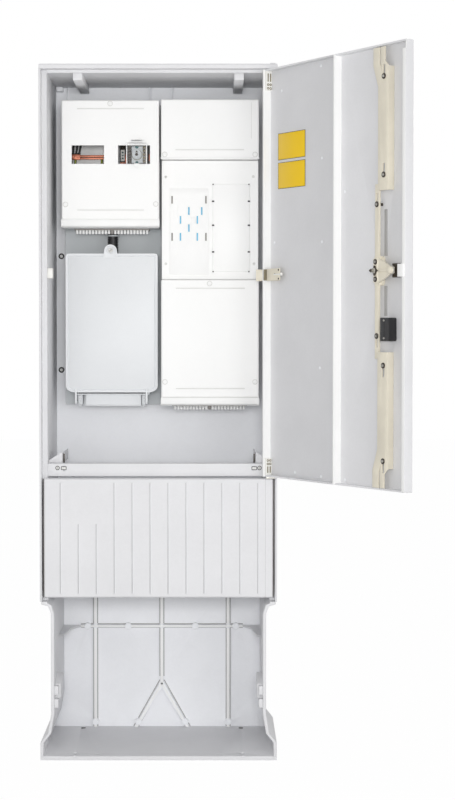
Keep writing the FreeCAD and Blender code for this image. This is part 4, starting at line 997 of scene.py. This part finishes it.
# Solids whose own shape is right: a copy with eased edges, or a finish alone
EASED = [
    ("left_side_wall", 1.2, None), ("right_side_wall", 1.2, None), ("base_plate", 1.2, None),
    ("pedestal_left_wall", 1.5, None), ("pedestal_right_wall", 1.5, None), ("lower_sill", 1.5, None),
    ("crossbar", 1.0, None), ("left_strut", 1.5, None), ("right_strut", 1.5, None),
    ("pedestal_clips", 1.2, None), ("strike_block", 1.0, None), ("stay_bracket", 0.8, None),
    ("handle_lever", 3.0, None), ("handle_plate", 1.2, None), ("contact_plate", 0.4, None),
    ("upper_lock_bar", 0.6, None), ("lower_lock_bar", 0.6, None), ("switch_bezel", 0.5, "clear"),
    # The pedestal's rear wall takes the whiter rear finish: painted lightening of a wall that stands in shade
    # under the cover.
    ("pedestal_rear_wall", 1.0, "rear_white"), ("snap_panel", 1.0, "panel_white"),
]
for node_name, edge_radius, edge_finish in EASED:
    eased(node_name, edge_radius, edge_finish)

for node_name, solid in NODES.items():
    if not solid.hide_render:
        solid.data.materials.clear()
        solid.data.materials.append(FINISHES[SLOT_OF[node_name]])


# Floor, light and camera
def studio():
    """Pale floor that takes the shadow, and looks white to the camera."""
    floor_glow = 0.985
    ground = bmesh.new()
    bmesh.ops.create_grid(ground, x_segments=1, y_segments=1, size=14.0)
    mesh = bpy.data.meshes.new("floor")
    ground.to_mesh(mesh)
    ground.free()
    floor = bpy.data.objects.new("floor", mesh)
    bpy.context.scene.collection.objects.link(floor)
    finish = Finish("floor_paper")
    paper = finish.node("ShaderNodeBsdfDiffuse", {}, {"Color": (0.8, 0.8, 0.8, 1.0)})
    glow = finish.node("ShaderNodeEmission", {}, {"Strength": 1.0})
    seen = finish.looked_at() * floor_glow
    finish.node_output(finish.node("ShaderNodeMixShader", {}, {0: seen, 1: paper, 2: glow}))
    mesh.materials.append(finish.material)


def lamp(name, place, target, size, power):
    """Square soft light that faces a point."""
    light = bpy.data.lights.new(name, "AREA")
    light.shape = "SQUARE"
    light.size = size
    light.energy = power
    lantern = bpy.data.objects.new(name, light)
    bpy.context.scene.collection.objects.link(lantern)
    lantern.location = place
    lantern.rotation_euler = (Vector(target) - Vector(place)).to_track_quat("-Z", "Y").to_euler()


def daylight():
    """White air behind the cabinet, which lights it at about half that strength."""
    white = (1.0, 1.0, 1.0, 1.0)
    world = bpy.data.worlds.new("studio_air")
    bpy.context.scene.world = world
    air = Finish("studio_air", world)
    unseen = air.node("ShaderNodeBackground", {}, {"Color": white, "Strength": 0.54})
    seen = air.node("ShaderNodeBackground", {}, {"Color": white, "Strength": 1.0})
    mixed = air.node("ShaderNodeMixShader", {}, {0: air.looked_at(), 1: unseen, 2: seen})
    air.node_output(mixed, "ShaderNodeOutputWorld")


def photographer():
    """Camera at the place and with the lens that were fitted to the photo."""
    lens = bpy.data.cameras.new("camera")
    lens.sensor_fit = "VERTICAL"
    lens.sensor_height = 36.0
    lens.lens = 83.69
    lens.shift_x = 0.01884
    lens.shift_y = -0.00786
    lens.clip_end = 60.0
    camera = bpy.data.objects.new("camera", lens)
    bpy.context.scene.collection.objects.link(camera)
    camera.location = (0.1343, -4.7695, 1.0630)
    camera.rotation_euler = (math.radians(90.0 - 1.836), 0.0, 0.0)
    bpy.context.scene.camera = camera


studio()
daylight()
lamp("main_light", (0.1, -5.0, 1.3), (0.0, 0.0, 0.95), 0.8, 72.0)
lamp("left_light", (-2.4, -4.4, 0.9), (0.0, 0.0, 0.95), 2.0, 12.0)
lamp("right_light", (2.4, -4.4, 0.9), (0.0, 0.0, 0.9), 2.0, 30.0)
photographer()
bpy.context.scene.view_settings.view_transform = "Standard"
